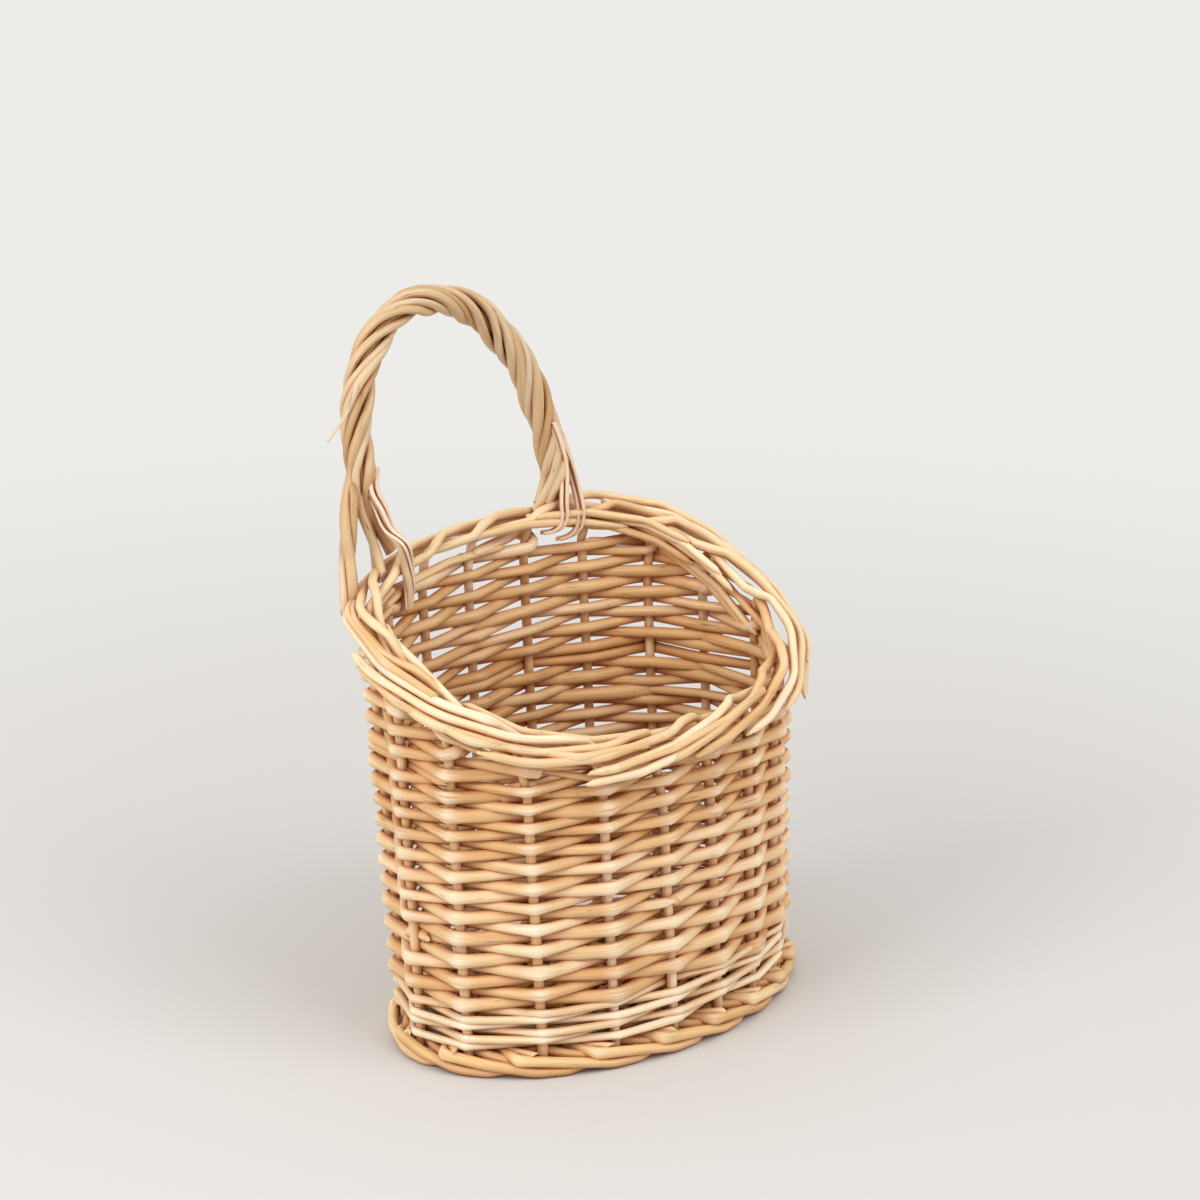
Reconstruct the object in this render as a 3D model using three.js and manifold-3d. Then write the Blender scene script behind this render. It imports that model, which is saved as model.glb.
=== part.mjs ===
// A hanging basket of peeled willow: an oval woven body with a slanting rim, a foot border that it
// stands on, and a roped handle at the back that it hangs by.
// Millimetres. +Z is up, the front faces -Y and the handle stands at the back, +Y.

import * as THREE from "three";
import { mergeVertices } from "three/addons/utils/BufferGeometryUtils.js";
import Module from "manifold-3d";

const wasm = await Module();
wasm.setup();

// Driving dimensions of the body. The stake line is the oval that the upright stakes stand on.
const STAKES = 18;
const FIRST_STAKE = 0.6; // share of a gap from the right-hand end (+X) to the first stake
// How far each stake stands off an even spacing, in gaps: it was set up by hand.
const STAKE_DRIFT = [
  0, -0.15, -0.15, -0.12, 0, 0, 0, 0, 0.05, -0.02, 0.1, 0.25, 0.32, 0.3, 0.25, 0.15, 0.08, 0,
];
const FOOT_WIDTH = 171; // stake line across, where the wall starts
const FOOT_DEPTH = 108;
const FOOT_SQUARENESS = 2.0; // exponent of the oval: 2 is an ellipse, more is squarer
const RIM_WIDTH = 174; // stake line across, at the rim
const RIM_DEPTH = 110.6;
const RIM_SQUARENESS = 2.5;
const RIM_BACK_SHIFT = 8.3; // the rim stands this far behind the foot
const RIM_HEIGHT = 146.4; // height of the stake line's top, midway from front to back
const RIM_RISE = 50.9; // how much higher the rim is at the back than at the front
const RIM_CROWN = 3.3; // how far the front and back of the rim dip below its slanting plane

// Willow rods.
const STAKE_RADIUS = 1.7;
const WEAVER_RADIUS = 1.8;
const WALE_RADIUS = 1.15;
const RIM_WEAVER_RADIUS = 1;
const FOOT_ROD_RADIUS = 2.05;
const BOW_RADIUS = 1.6;
const HANDLE_ROD_RADIUS = 1.95;
const TIE_RADIUS = 1.1;
const CLEARANCE = 0.3; // gap kept between rods that touch
const ROD_SIDES = 6;
const WEAVER_SIDES = 5;

// Wall, from the ground up.
const BASE_UNDERSIDE = 9.7;
const BASE_THICKNESS = 6;
const BASE_STICK_RADIUS = 1.7;
const LONG_STICKS = 3;
const SHORT_STICKS = 7;
const LONG_STICK_SPACING = 6;
const SHORT_STICK_SPACING = 15;
const STICK_INSET = 1; // from the end of a stick to the mat's edge
const MAT_SIDES = 36;
const FOOT_WEAR = 0.4; // depth of the flat that a foot rod stands on
const WALL_START = 12; // height at which the stake line has the foot's size
const WALE_START = 10.3; // height of the wale's first rod where it starts
const WALE_FIRST_STAKE = 7; // the wale starts here, out of sight at the back, and rises as it goes
const WALE_RODS = 3;
const WALE_TURNS = 5 / 3;
const WALE_PITCH = 2.6;
const ROW_PITCH = 4;
const RODS_PER_WEAVER = 3;
const ROD_JOIN = 0.08; // share of a gap left between one rod's tip and the next one's butt
const BORDER_DROP = 3.4; // the level rows end at least this far below the stake line's top
const SIDING_FRONT_STEPS = 2; // stakes that set b's last row passes along the low front
const STAKE_FOOT = 5; // height at which a stake's lower end stands, behind the foot rods

// Handle.
const HANDLE_LEAN = 11; // degrees that the bow leans back
const HANDLE_RISE = 93; // top of the bow's centre line above its feet
const HANDLE_HALF_WIDTH = 52;
const HANDLE_RODS = 5;
const ROPE_TURN_LENGTH = 85.5; // along the handle, for one turn of the roped rods
const HANDLE_RIGHT_STAKE = 2.16; // place of each foot along the rim, counted in stakes
const HANDLE_LEFT_STAKE = 5.64;
const HANDLE_FOOT_LIFT = 10; // roped rods end this far above the stake line's top
const BOW_LEFT_END = 8.3; // the bow's ends stand on the border's top rods
const BOW_RIGHT_END = 8;
const BOW_STEP = 6; // length of one straight piece of the bow, and of a roped rod
const ROPE_STEP = 6.4;
const TIE_TOP = 34; // height of a tie's upper end along the handle
const TIE_LEAVES = 16; // height at which it leaves the rope

const willow = {
  stake: { color: 0xdcb98c, roughness: 0.55, metalness: 0 },
  weaver: { color: 0xcfa472, roughness: 0.6, metalness: 0 },
  wale: { color: 0xe6cda2, roughness: 0.55, metalness: 0 },
  foot: { color: 0xd6ae75, roughness: 0.6, metalness: 0 },
  base: { color: 0xc79a66, roughness: 0.7, metalness: 0 },
  handle: { color: 0xcfab80, roughness: 0.6, metalness: 0 },
  tie: { color: 0xe3c8a8, roughness: 0.55, metalness: 0 },
};

// Places on an oval are shares of its length, measured anticlockwise from +X as seen from above.
const BACK = 0.25;
const FRONT = 0.75;
const OVAL_DIVISIONS = 720;
const TANGENT_STEP = 0.002;

class Oval extends THREE.Curve {
  constructor(width, depth, squareness) {
    super();
    this.width = width;
    this.depth = depth;
    this.squareness = squareness;
    this.arcLengthDivisions = OVAL_DIVISIONS;
  }
  getPoint(t, target = new THREE.Vector3()) {
    const angle = 2 * Math.PI * t;
    const c = Math.cos(angle);
    const s = Math.sin(angle);
    const n = this.squareness;
    const reach = (Math.abs(c) ** n + Math.abs(s) ** n) ** (-1 / n);
    return target.set((this.width / 2) * reach * c, (this.depth / 2) * reach * s, 0);
  }
}

// A polyline whose corners are hit exactly by an extrusion with one step per segment.
class RodPath extends THREE.Curve {
  constructor(points) {
    super();
    this.points = points;
  }
  getPoint(t, target = new THREE.Vector3()) {
    const place = Math.min(Math.max(t, 0), 1) * (this.points.length - 1);
    const i = Math.min(Math.floor(place), this.points.length - 2);
    return target.lerpVectors(this.points[i], this.points[i + 1], place - i);
  }
  getPointAt(u, target) {
    return this.getPoint(u, target);
  }
  getTangent(t, target = new THREE.Vector3()) {
    const i = Math.round(t * (this.points.length - 1));
    const here = this.points[i];
    const before = this.points[Math.max(i - 1, 0)];
    const after = this.points[Math.min(i + 1, this.points.length - 1)];
    const arriving = new THREE.Vector3().subVectors(here, before).normalize();
    const leaving = new THREE.Vector3().subVectors(after, here).normalize();
    return target.addVectors(arriving, leaving).normalize();
  }
  getTangentAt(u, target) {
    return this.getTangent(u, target);
  }
}

const footOval = new Oval(FOOT_WIDTH, FOOT_DEPTH, FOOT_SQUARENESS);
const rimOval = new Oval(RIM_WIDTH, RIM_DEPTH, RIM_SQUARENESS);

const STAKE_GAP = (footOval.getLength() + rimOval.getLength()) / (2 * STAKES);
const wrap = (u) => ((u % 1) + 1) % 1;
const evenStake = (index) => (index + FIRST_STAKE) / STAKES;

function stakeAt(index) {
  const before = Math.floor(index);
  const drifts = [before, before + 1].map((i) => STAKE_DRIFT[((i % STAKES) + STAKES) % STAKES]);
  return evenStake(index + THREE.MathUtils.lerp(...drifts, index - before));
}

// Top of the stake line at a place on the oval.
function rimLine(u) {
  const p = rimOval.getPointAt(wrap(u));
  const across = p.y / (RIM_DEPTH / 2);
  p.z = RIM_HEIGHT + (RIM_RISE / 2) * across - RIM_CROWN * across ** 2;
  p.y += RIM_BACK_SHIFT;
  return p;
}

// The wall's middle at a place on the oval and a height, r millimetres outside it.
function wallLine(u, z) {
  const foot = footOval.getPointAt(wrap(u));
  const rim = rimLine(u);
  const share = Math.max(0, (z - WALL_START) / (rim.z - WALL_START));
  return new THREE.Vector3(foot.x + (rim.x - foot.x) * share, foot.y + (rim.y - foot.y) * share, z);
}

function wallPoint(u, z, r) {
  const along = wallLine(u + TANGENT_STEP, z).sub(wallLine(u - TANGENT_STEP, z)).normalize();
  return wallLine(u, z).add(new THREE.Vector3(along.y, -along.x, 0).multiplyScalar(r));
}

// A place in the top border: r outside and v above the top of the stake line.
function rimPoint(u, r, v) {
  const top = rimLine(u).z;
  const p = wallPoint(u, top, r);
  p.z = top + v;
  return p;
}

const ring = (radius, sides) => {
  const corners = [];
  for (let i = 0; i < sides; i++) {
    const angle = (2 * Math.PI * (i + 0.5)) / sides;
    corners.push(new THREE.Vector2(radius * Math.cos(angle), radius * Math.sin(angle)));
  }
  return new THREE.Shape(corners);
};

function rodGeometry(points, radius, sides) {
  return new THREE.ExtrudeGeometry(ring(radius, sides), {
    steps: points.length - 1,
    extrudePath: new RodPath(points),
    bevelEnabled: false,
  });
}

const basket = new THREE.Group();

function place(name, geometry, finish) {
  const mesh = new THREE.Mesh(geometry, new THREE.MeshStandardMaterial(finish));
  mesh.name = name;
  basket.add(mesh);
  return mesh;
}

const numbered = (name, index) => `${name}_${String(index + 1).padStart(2, "0")}`;

// Solids for the pieces that are joined or cut.
function toSolid(geometry) {
  const bare = geometry.clone();
  bare.deleteAttribute("normal");
  bare.deleteAttribute("uv");
  const merged = mergeVertices(bare, 1e-4);
  return new wasm.Manifold(
    new wasm.Mesh({
      numProp: 3,
      vertProperties: merged.attributes.position.array,
      triVerts: new Uint32Array(merged.index.array),
    }),
  );
}

function toGeometry(solid) {
  const mesh = solid.getMesh();
  return new THREE.BufferGeometry()
    .setAttribute("position", new THREE.BufferAttribute(new Float32Array(mesh.vertProperties), 3))
    .setIndex(new THREE.BufferAttribute(new Uint32Array(mesh.triVerts), 1));
}

// Stakes: each stands in the wall, bends over at the rim towards the stake on its left, goes inside
// that one, over the top to the outside of the next, and lies along the outside of two more.
// Each place is [gaps along the rim, outside the stake line, above its top].
const INSIDE = 2 * (STAKE_RADIUS + CLEARANCE);
const BORDER_STEPS = [
  [0, 0, 0.2],
  [0.12, 0, 1.3],
  [0.5, -2.3, 1.6],
  [1, -INSIDE, 2.3],
  [1.25, -2.7, 5.4],
  [1.5, 0.2, 6.2],
  [1.75, 2.7, 5.4],
  [2, 3.9, 3.8],
  [2.5, 5.6, 2.2],
  [3, 7.1, 0.6],
  [3.5, 8.4, -1.2],
  [4, 9.3, -3],
];

for (let i = 0; i < STAKES; i++) {
  const points = [STAKE_FOOT, WALL_START].map((z) => wallPoint(stakeAt(i), z, 0));
  for (const [gaps, r, v] of BORDER_STEPS) points.push(rimPoint(stakeAt(i - gaps), r, v));
  place(numbered("stake", i), rodGeometry(points, STAKE_RADIUS, ROD_SIDES), willow.stake);
}

// Weavers: how far outside the stake line a rod passes a stake, so that it clears it although the
// wall turns there.
function passingOffset(radius, index, z) {
  const [before, here, after] = [index - 1, index, index + 1].map((i) => wallLine(stakeAt(i), z));
  const arriving = here.clone().sub(before).setZ(0).normalize();
  const leaving = after.sub(here).setZ(0).normalize();
  const turn = Math.acos(Math.min(1, arriving.dot(leaving))) / 2;
  const swing = Math.atan((2 * (STAKE_RADIUS + radius)) / here.distanceTo(before));
  return radius + (STAKE_RADIUS + CLEARANCE) / Math.cos(turn + swing);
}

function weavePoint(index, z, side, radius) {
  return wallPoint(stakeAt(index), z, side * passingOffset(radius, index, z));
}

// Wale: three fine rods twined together, each in front of two stakes and behind one.
const waleSteps = Math.round(WALE_TURNS * STAKES);
for (let k = 0; k < WALE_RODS; k++) {
  const points = [];
  for (let j = 0; j <= waleSteps; j++) {
    const z = WALE_START + WALE_PITCH * (k + (WALE_RODS * j) / STAKES);
    const side = (j - k + WALE_RODS) % WALE_RODS === 0 ? -1 : 1;
    points.push(weavePoint(WALE_FIRST_STAKE + j, z, side, WALE_RADIUS));
  }
  place(numbered("wale_rod", k), rodGeometry(points, WALE_RADIUS, ROD_SIDES), willow.wale);
}

// Siding: two sets of weavers chase each other round, each in front of every other stake. They start
// just past the wale's ends, on its lower turn, and rise as fast as it does. Set b lies above set a,
// and ends about half a turn sooner. Each set is made of rods laid end to end.
const lowerTurn = WALE_RODS * (WALE_TURNS - 1) + WALE_RODS - 1;
const SIDING_START =
  WALE_START + WALE_PITCH * lowerTurn + WALE_RADIUS + CLEARANCE + WEAVER_RADIUS;
const sidingFirst = WALE_FIRST_STAKE + waleSteps + 1;
const frontLimit = rimLine(FRONT).z - BORDER_DROP;
const sidingTurns = Math.floor((frontLimit - SIDING_START) / ROW_PITCH) / 2;
const sidingTop = SIDING_START + 2 * ROW_PITCH * sidingTurns;

["a", "b"].forEach((letter, set) => {
  const total = Math.round((sidingTurns - set / 2) * STAKES) + set * SIDING_FRONT_STEPS;
  const perRod = Math.ceil(total / RODS_PER_WEAVER);
  for (let rod = 0; rod < RODS_PER_WEAVER; rod++) {
    const points = [];
    const first = rod * perRod;
    const last = Math.min(first + perRod, total);
    for (let step = first; step <= last; step++) {
      const side = (step + set) % 2 ? 1 : -1;
      const z = SIDING_START + ROW_PITCH * (set + (2 * step) / STAKES);
      points.push(weavePoint(sidingFirst + step, z, side, WEAVER_RADIUS));
    }
    if (rod > 0) points[0].lerp(points[1], ROD_JOIN);
    place(`siding_${letter}_${rod + 1}`, rodGeometry(points, WEAVER_RADIUS, WEAVER_SIDES), willow.weaver);
  }
});

// Packing: one weaver goes to and fro behind the front rows, round the last stake that the slanting
// rim leaves room for, and builds the back up to the rim.
const backStake = Math.round(BACK * STAKES - FIRST_STAKE);

function lastStake(z, direction) {
  let index = backStake;
  while (rimLine(stakeAt(index + direction)).z - BORDER_DROP >= z) index += direction;
  return index;
}

const backLimit = rimLine(BACK).z - BORDER_DROP;
const packingRows = Math.floor((backLimit - sidingTop) / ROW_PITCH);
const turnRadius = STAKE_RADIUS + WEAVER_RADIUS + 3 * CLEARANCE; // round the stake at a row's end
const packingPoints = [];
let packingIndex = lastStake(sidingTop + ROW_PITCH, -1);
let packingSide = 1;

for (let row = 1; row <= packingRows; row++) {
  const z = sidingTop + ROW_PITCH * row;
  const direction = row % 2 ? 1 : -1;
  const end = lastStake(Math.min(z + ROW_PITCH, backLimit), direction);
  for (; packingIndex !== end + direction; packingIndex += direction) {
    packingPoints.push(weavePoint(packingIndex, z, packingSide, WEAVER_RADIUS));
    packingSide = -packingSide;
  }
  packingIndex = end;
  if (row === packingRows) break;
  for (const third of [1, 2]) {
    const angle = (Math.PI * third) / 3;
    const beyond = (direction * turnRadius * Math.sin(angle)) / STAKE_GAP;
    const r = -packingSide * turnRadius * Math.cos(angle);
    packingPoints.push(wallPoint(stakeAt(end + beyond), z + (ROW_PITCH * third) / 3, r));
  }
}
place("packing_weaver", rodGeometry(packingPoints, WEAVER_RADIUS, WEAVER_SIDES), willow.weaver);

// Rim weaver: a fine rod that closes the gap between the level rows and the slanting border. It starts
// at the high back, under the border, and goes round by the left and the front to the back again.
const RIM_WEAVER_DROP = 1.95; // below the stake line's top
const RIM_WEAVER_FIRST = 5;
const RIM_WEAVER_STEPS = 15;
const rimWeaverPoints = [];
for (let step = 0; step <= RIM_WEAVER_STEPS; step++) {
  const index = RIM_WEAVER_FIRST + step;
  const z = rimLine(stakeAt(index)).z - RIM_WEAVER_DROP;
  rimWeaverPoints.push(weavePoint(index, z, step % 2 ? -1 : 1, RIM_WEAVER_RADIUS));
}
place("rim_weaver", rodGeometry(rimWeaverPoints, RIM_WEAVER_RADIUS, WEAVER_SIDES), willow.weaver);

// Foot border: each rod comes out from under the base short of a stake, turns sharply, lies along the
// outside past that stake and runs underneath past the next. It is worn flat where it stands.
// Each place is [gaps along the foot, outside the stake line, above the ground].
const FOOT_LOW = FOOT_ROD_RADIUS - FOOT_WEAR;
const FOOT_STEPS = [
  [0.46, -8, 6.7],
  [0.66, 5.4, 6.8],
  [0.74, 5.8, 6.7],
  [1.3, 5.7, 6.1],
  [1.6, 4.9, 2.6],
  [1.75, 5, FOOT_LOW + 0.2],
  [1.9, 5, FOOT_LOW],
  [2.2, 4.8, FOOT_LOW],
  [2.32, 2.4, FOOT_LOW],
];
const ground = new THREE.BoxGeometry(2 * FOOT_WIDTH, 2 * FOOT_DEPTH, 4 * FOOT_ROD_RADIUS);
ground.translate(0, 0, -2 * FOOT_ROD_RADIUS);

for (let i = 0; i < STAKES; i++) {
  const points = FOOT_STEPS.map(([gaps, r, z]) => wallPoint(stakeAt(i + gaps), z, r));
  const rod = toSolid(rodGeometry(points, FOOT_ROD_RADIUS, ROD_SIDES)).subtract(toSolid(ground));
  place(numbered("foot_rod", i), toGeometry(rod), willow.foot);
}

// Base: long and short sticks crossed in one plane, in a woven oval mat.
const MAT_EDGE = STAKE_RADIUS + 2 * WALE_RADIUS + 5 * CLEARANCE; // inside the stake line
const mat = new Oval(FOOT_WIDTH - 2 * MAT_EDGE, FOOT_DEPTH - 2 * MAT_EDGE, FOOT_SQUARENESS);
const matMiddle = BASE_UNDERSIDE + BASE_THICKNESS / 2;

function stick(halfLength, radius, alongX, offset) {
  const geometry = new THREE.CylinderGeometry(radius, radius, 2 * halfLength, ROD_SIDES);
  if (alongX) geometry.rotateZ(Math.PI / 2);
  return geometry.translate(alongX ? 0 : offset, alongX ? offset : 0, matMiddle);
}

function crossedSticks(radius, past) {
  const parts = [];
  for (let i = 0; i < LONG_STICKS; i++) {
    const y = (i - (LONG_STICKS - 1) / 2) * LONG_STICK_SPACING;
    const half = (mat.width / 2) * Math.sqrt(1 - (y / (mat.depth / 2)) ** 2);
    parts.push(stick(half + past, radius, true, y));
  }
  for (let i = 0; i < SHORT_STICKS; i++) {
    const x = (i - (SHORT_STICKS - 1) / 2) * SHORT_STICK_SPACING;
    const half = (mat.depth / 2) * Math.sqrt(1 - (x / (mat.width / 2)) ** 2);
    parts.push(stick(half + past, radius, false, x));
  }
  return parts.map(toSolid).reduce((sum, part) => sum.add(part));
}

const matOutline = new THREE.Shape(mat.getSpacedPoints(MAT_SIDES).slice(0, -1));
const matPlate = new THREE.ExtrudeGeometry(matOutline, { depth: BASE_THICKNESS, bevelEnabled: false });
matPlate.translate(0, 0, BASE_UNDERSIDE);
const channels = crossedSticks(BASE_STICK_RADIUS + CLEARANCE, STICK_INSET);
const woven = toSolid(matPlate).subtract(channels);
place("base_sticks", toGeometry(crossedSticks(BASE_STICK_RADIUS, -STICK_INSET)), willow.base);
place("base_mat", toGeometry(woven), willow.base);

// Handle: a bent bow with rods roped round it. Its plane leans back from the rim.
const handleFeet = { right: evenStake(HANDLE_RIGHT_STAKE), left: evenStake(HANDLE_LEFT_STAKE) };
const rightFoot = rimLine(handleFeet.right);
const leftFoot = rimLine(handleFeet.left);
const handleMiddle = new THREE.Vector3().addVectors(rightFoot, leftFoot).divideScalar(2);
const lean = THREE.MathUtils.degToRad(HANDLE_LEAN);
const handleUp = new THREE.Vector3(0, Math.sin(lean), Math.cos(lean));
const handleBack = new THREE.Vector3(0, Math.cos(lean), -Math.sin(lean));

// A place in the handle's plane: across from its middle, up along it, and behind it.
function handlePoint(across, up, behind = 0) {
  return handleMiddle
    .clone()
    .add(new THREE.Vector3(across, 0, 0))
    .addScaledVector(handleUp, up)
    .addScaledVector(handleBack, behind);
}

const footReach = (rightFoot.x - leftFoot.x) / 2;
// The bow's shape, bent by hand: shares of its half width and of its rise, from left to right.
const BOW_SHAPE = [
  [-1, 0.28],
  [-1.04, 0.45],
  [-1.03, 0.61],
  [-0.93, 0.78],
  [-0.71, 0.94],
  [-0.38, 1.025],
  [-0.06, 1.02],
  [0.27, 0.94],
  [0.65, 0.69],
  [0.85, 0.34],
];
const bowPlaces = [
  handlePoint(-footReach, BOW_LEFT_END),
  ...BOW_SHAPE.map(([x, rise]) => handlePoint(x * HANDLE_HALF_WIDTH, rise * HANDLE_RISE)),
  handlePoint(footReach, BOW_RIGHT_END),
];
const bowLine = new THREE.CatmullRomCurve3(bowPlaces, false, "centripetal");
const bowLength = bowLine.getLength();
const bowSteps = Math.round(bowLength / BOW_STEP);
place("handle_bow", rodGeometry(bowLine.getSpacedPoints(bowSteps), BOW_RADIUS, ROD_SIDES), willow.handle);

const ropeOffset = BOW_RADIUS + HANDLE_ROD_RADIUS + CLEARANCE;
const ropeStart = (HANDLE_FOOT_LIFT - BOW_LEFT_END) / bowLength;
const ropeEnd = 1 - (HANDLE_FOOT_LIFT - BOW_RIGHT_END) / bowLength;
const ropeSteps = Math.round(((ropeEnd - ropeStart) * bowLength) / ROPE_STEP);

function ropePoint(share, angle, offset) {
  const tangent = bowLine.getTangentAt(share);
  const inPlane = new THREE.Vector3().crossVectors(tangent, handleBack);
  return bowLine
    .getPointAt(share)
    .addScaledVector(handleBack, offset * Math.cos(angle))
    .addScaledVector(inPlane, offset * Math.sin(angle));
}

// Where rod k lies round the bow. The rods turn as they go, all the same way.
function ropeAngle(share, k) {
  return 2 * Math.PI * ((share * bowLength) / ROPE_TURN_LENGTH + k / HANDLE_RODS);
}

for (let k = 0; k < HANDLE_RODS; k++) {
  const points = [];
  for (let i = 0; i <= ropeSteps; i++) {
    const share = ropeStart + ((ropeEnd - ropeStart) * i) / ropeSteps;
    points.push(ropePoint(share, ropeAngle(share, k), ropeOffset));
  }
  place(numbered("handle_rod", k), rodGeometry(points, HANDLE_ROD_RADIUS, ROD_SIDES), willow.handle);
}

// Ties: fine rods that come down in the rope's furrows, leave it above each foot, cross the border
// and hook under it on the inside. Places on the border are [gaps from the foot towards the handle's
// middle, outside the stake line, above its top].
const TIE_ON_BORDER = [
  [0.2, -5.4, 7.2],
  [0.32, -6.4, 1],
  [0.28, -5.2, -3],
  [0.14, -2.6, -4.8],
];
const TIE_SPACING = 2 * TIE_RADIUS + 5 * CLEARANCE;
const tieReach = HANDLE_ROD_RADIUS + TIE_RADIUS + 2 * CLEARANCE;
const halfRod = Math.PI / HANDLE_RODS;
const tieOffset =
  ropeOffset * Math.cos(halfRod) + Math.sqrt(tieReach ** 2 - (ropeOffset * Math.sin(halfRod)) ** 2);

// foot is the place on the rim, end is the bow's end there, and the furrows are counted in rods.
const tieFeet = [
  { side: "left", foot: handleFeet.left, toMiddle: 1, endUp: BOW_LEFT_END, furrows: [2.5, 3.5] },
  { side: "right", foot: handleFeet.right, toMiddle: -1, endUp: BOW_RIGHT_END, furrows: [4.5, 5.5] },
];
for (const { side, foot, toMiddle, endUp, furrows } of tieFeet) {
  furrows.forEach((furrow, k) => {
    const points = [TIE_TOP, (TIE_TOP + TIE_LEAVES) / 2, TIE_LEAVES].map((up) => {
      const along = (up - endUp) / bowLength;
      const share = toMiddle > 0 ? along : 1 - along;
      return ropePoint(share, ropeAngle(share, furrow), tieOffset);
    });
    for (const [gaps, r, v] of TIE_ON_BORDER) {
      const apart = gaps + (k * TIE_SPACING) / STAKE_GAP;
      points.push(rimPoint(foot - (toMiddle * apart) / STAKES, r, v));
    }
    place(`handle_tie_${side}_${k + 1}`, rodGeometry(points, TIE_RADIUS, ROD_SIDES), willow.tie);
  });
}

// The part's origin: on the ground, in the middle of the whole basket's box.
const extent = new THREE.Box3().setFromObject(basket);
const middle = extent.getCenter(new THREE.Vector3());
basket.position.set(-middle.x, -middle.y, -extent.min.z);

export default basket;
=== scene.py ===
# %% [markdown]
# # A hanging basket of peeled willow
#
# This lesson dresses the plain CAD model of a small oval basket. The real basket is nothing but rods:
# stakes that stand in the wall, weavers that run in front of one stake and behind the next, a border
# made of the bent-down stakes, and a roped handle. So the model is made of rods too, each one swept
# along the way that a basket maker would lead it.
#
# The CAD model comes first. It fixes where everything is and how big it is, in metres, with +Z up.

# %% Load the frame
import math

import bpy
import numpy as np
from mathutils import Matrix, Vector


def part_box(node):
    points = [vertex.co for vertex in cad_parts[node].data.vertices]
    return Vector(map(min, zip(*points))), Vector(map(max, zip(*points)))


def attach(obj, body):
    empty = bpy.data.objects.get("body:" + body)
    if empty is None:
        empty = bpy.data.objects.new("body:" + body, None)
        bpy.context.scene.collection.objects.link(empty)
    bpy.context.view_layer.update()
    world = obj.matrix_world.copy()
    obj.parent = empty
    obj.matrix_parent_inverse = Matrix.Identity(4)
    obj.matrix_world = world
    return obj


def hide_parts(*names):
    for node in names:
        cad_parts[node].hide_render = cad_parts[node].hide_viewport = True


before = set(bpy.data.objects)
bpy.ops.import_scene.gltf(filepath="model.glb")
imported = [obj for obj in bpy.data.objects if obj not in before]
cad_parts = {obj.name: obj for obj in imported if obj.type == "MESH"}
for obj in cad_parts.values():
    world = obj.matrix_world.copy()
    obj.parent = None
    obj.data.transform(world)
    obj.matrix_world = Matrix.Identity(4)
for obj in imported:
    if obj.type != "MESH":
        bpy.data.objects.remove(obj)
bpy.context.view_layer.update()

bpy.ops.object.select_all(action="DESELECT")

# %% [markdown]
# ## Sizes
#
# The sizes below repeat those of the CAD model, in millimetres, because the rods have to lie where its
# solids lie. The CAD model has its origin in the middle of the whole basket, but its rods are laid out
# from the middle of the foot. The base mat is centred there, so its box gives the difference.

# %% Sizes of the body
MM = 0.001
STAKES = 18
# Where the first stake stands, and how far each stands off an even spacing, in gaps between stakes.
FIRST_STAKE = 0.6
STAKE_DRIFT = np.array(
    [0, -0.15, -0.15, -0.12, 0, 0, 0, 0, 0.05, -0.02, 0.1, 0.25, 0.32, 0.3, 0.25, 0.15, 0.08, 0]
)
FOOT_WIDTH, FOOT_DEPTH, FOOT_SQUARENESS = 171, 108, 2.0
RIM_WIDTH, RIM_DEPTH, RIM_SQUARENESS = 174, 110.6, 2.5
RIM_BACK_SHIFT, RIM_HEIGHT, RIM_RISE, RIM_CROWN = 8.3, 146.4, 50.9, 3.3
WALL_START = 12

mat_low, mat_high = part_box("base_mat")
foot_middle = np.array([(mat_low.x + mat_high.x) / 2, (mat_low.y + mat_high.y) / 2, 0.0])
print("middle of the foot, in metres:", foot_middle.round(5))

# %% [markdown]
# ## The wall's line
#
# Seen from above, the basket is an oval: a plain ellipse at the foot and a slightly squarer one at the
# rim. A place on it is given as a share of its length, so that the stakes come out evenly spaced. A
# Blender circle could be scaled to an ellipse, but its points bunch at the ends. A small table of
# lengths along the oval gives even steps. The two helpers for such tables serve the rods later too.

# %% Ovals measured along their length
OVAL_POINTS = 1441


def lengths_along(points):
    return np.concatenate([[0], np.cumsum(np.linalg.norm(np.diff(points, axis=0), axis=1))])


def read_off(at, steps, points):
    return np.stack([np.interp(at, steps, column) for column in points.T], axis=-1)


def oval_table(width, depth, squareness):
    """Points round an oval, the share of the way round at each of them, and its whole length."""
    angle = np.linspace(0, 2 * np.pi, OVAL_POINTS)
    c, s = np.cos(angle), np.sin(angle)
    reach = (abs(c) ** squareness + abs(s) ** squareness) ** (-1 / squareness)
    xy = np.stack([width / 2 * reach * c, depth / 2 * reach * s], axis=1)
    run = lengths_along(xy)
    return xy, run / run[-1], run[-1]


def on_oval(table, u):
    xy, share, _ = table
    return read_off(np.mod(u, 1.0), share, xy)


foot_oval = oval_table(FOOT_WIDTH, FOOT_DEPTH, FOOT_SQUARENESS)
rim_oval = oval_table(RIM_WIDTH, RIM_DEPTH, RIM_SQUARENESS)
STAKE_GAP = (foot_oval[2] + rim_oval[2]) / (2 * STAKES)
print("gap between stakes: %.1f mm" % STAKE_GAP)

# %% [markdown]
# ### Places on the wall
#
# The stakes stand in straight lines from the foot's oval up to the rim's, which slants. So a place on
# the wall takes three numbers: how far round it is, how high, and how far outside the stakes' middle
# line. Every rod is led with these, and none needs to know how the wall bends.

# %% Places on the wall
# As shares of the way round, from the right-hand end.
BACK, FRONT = 0.25, 0.75
NEARBY = 0.002


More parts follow.
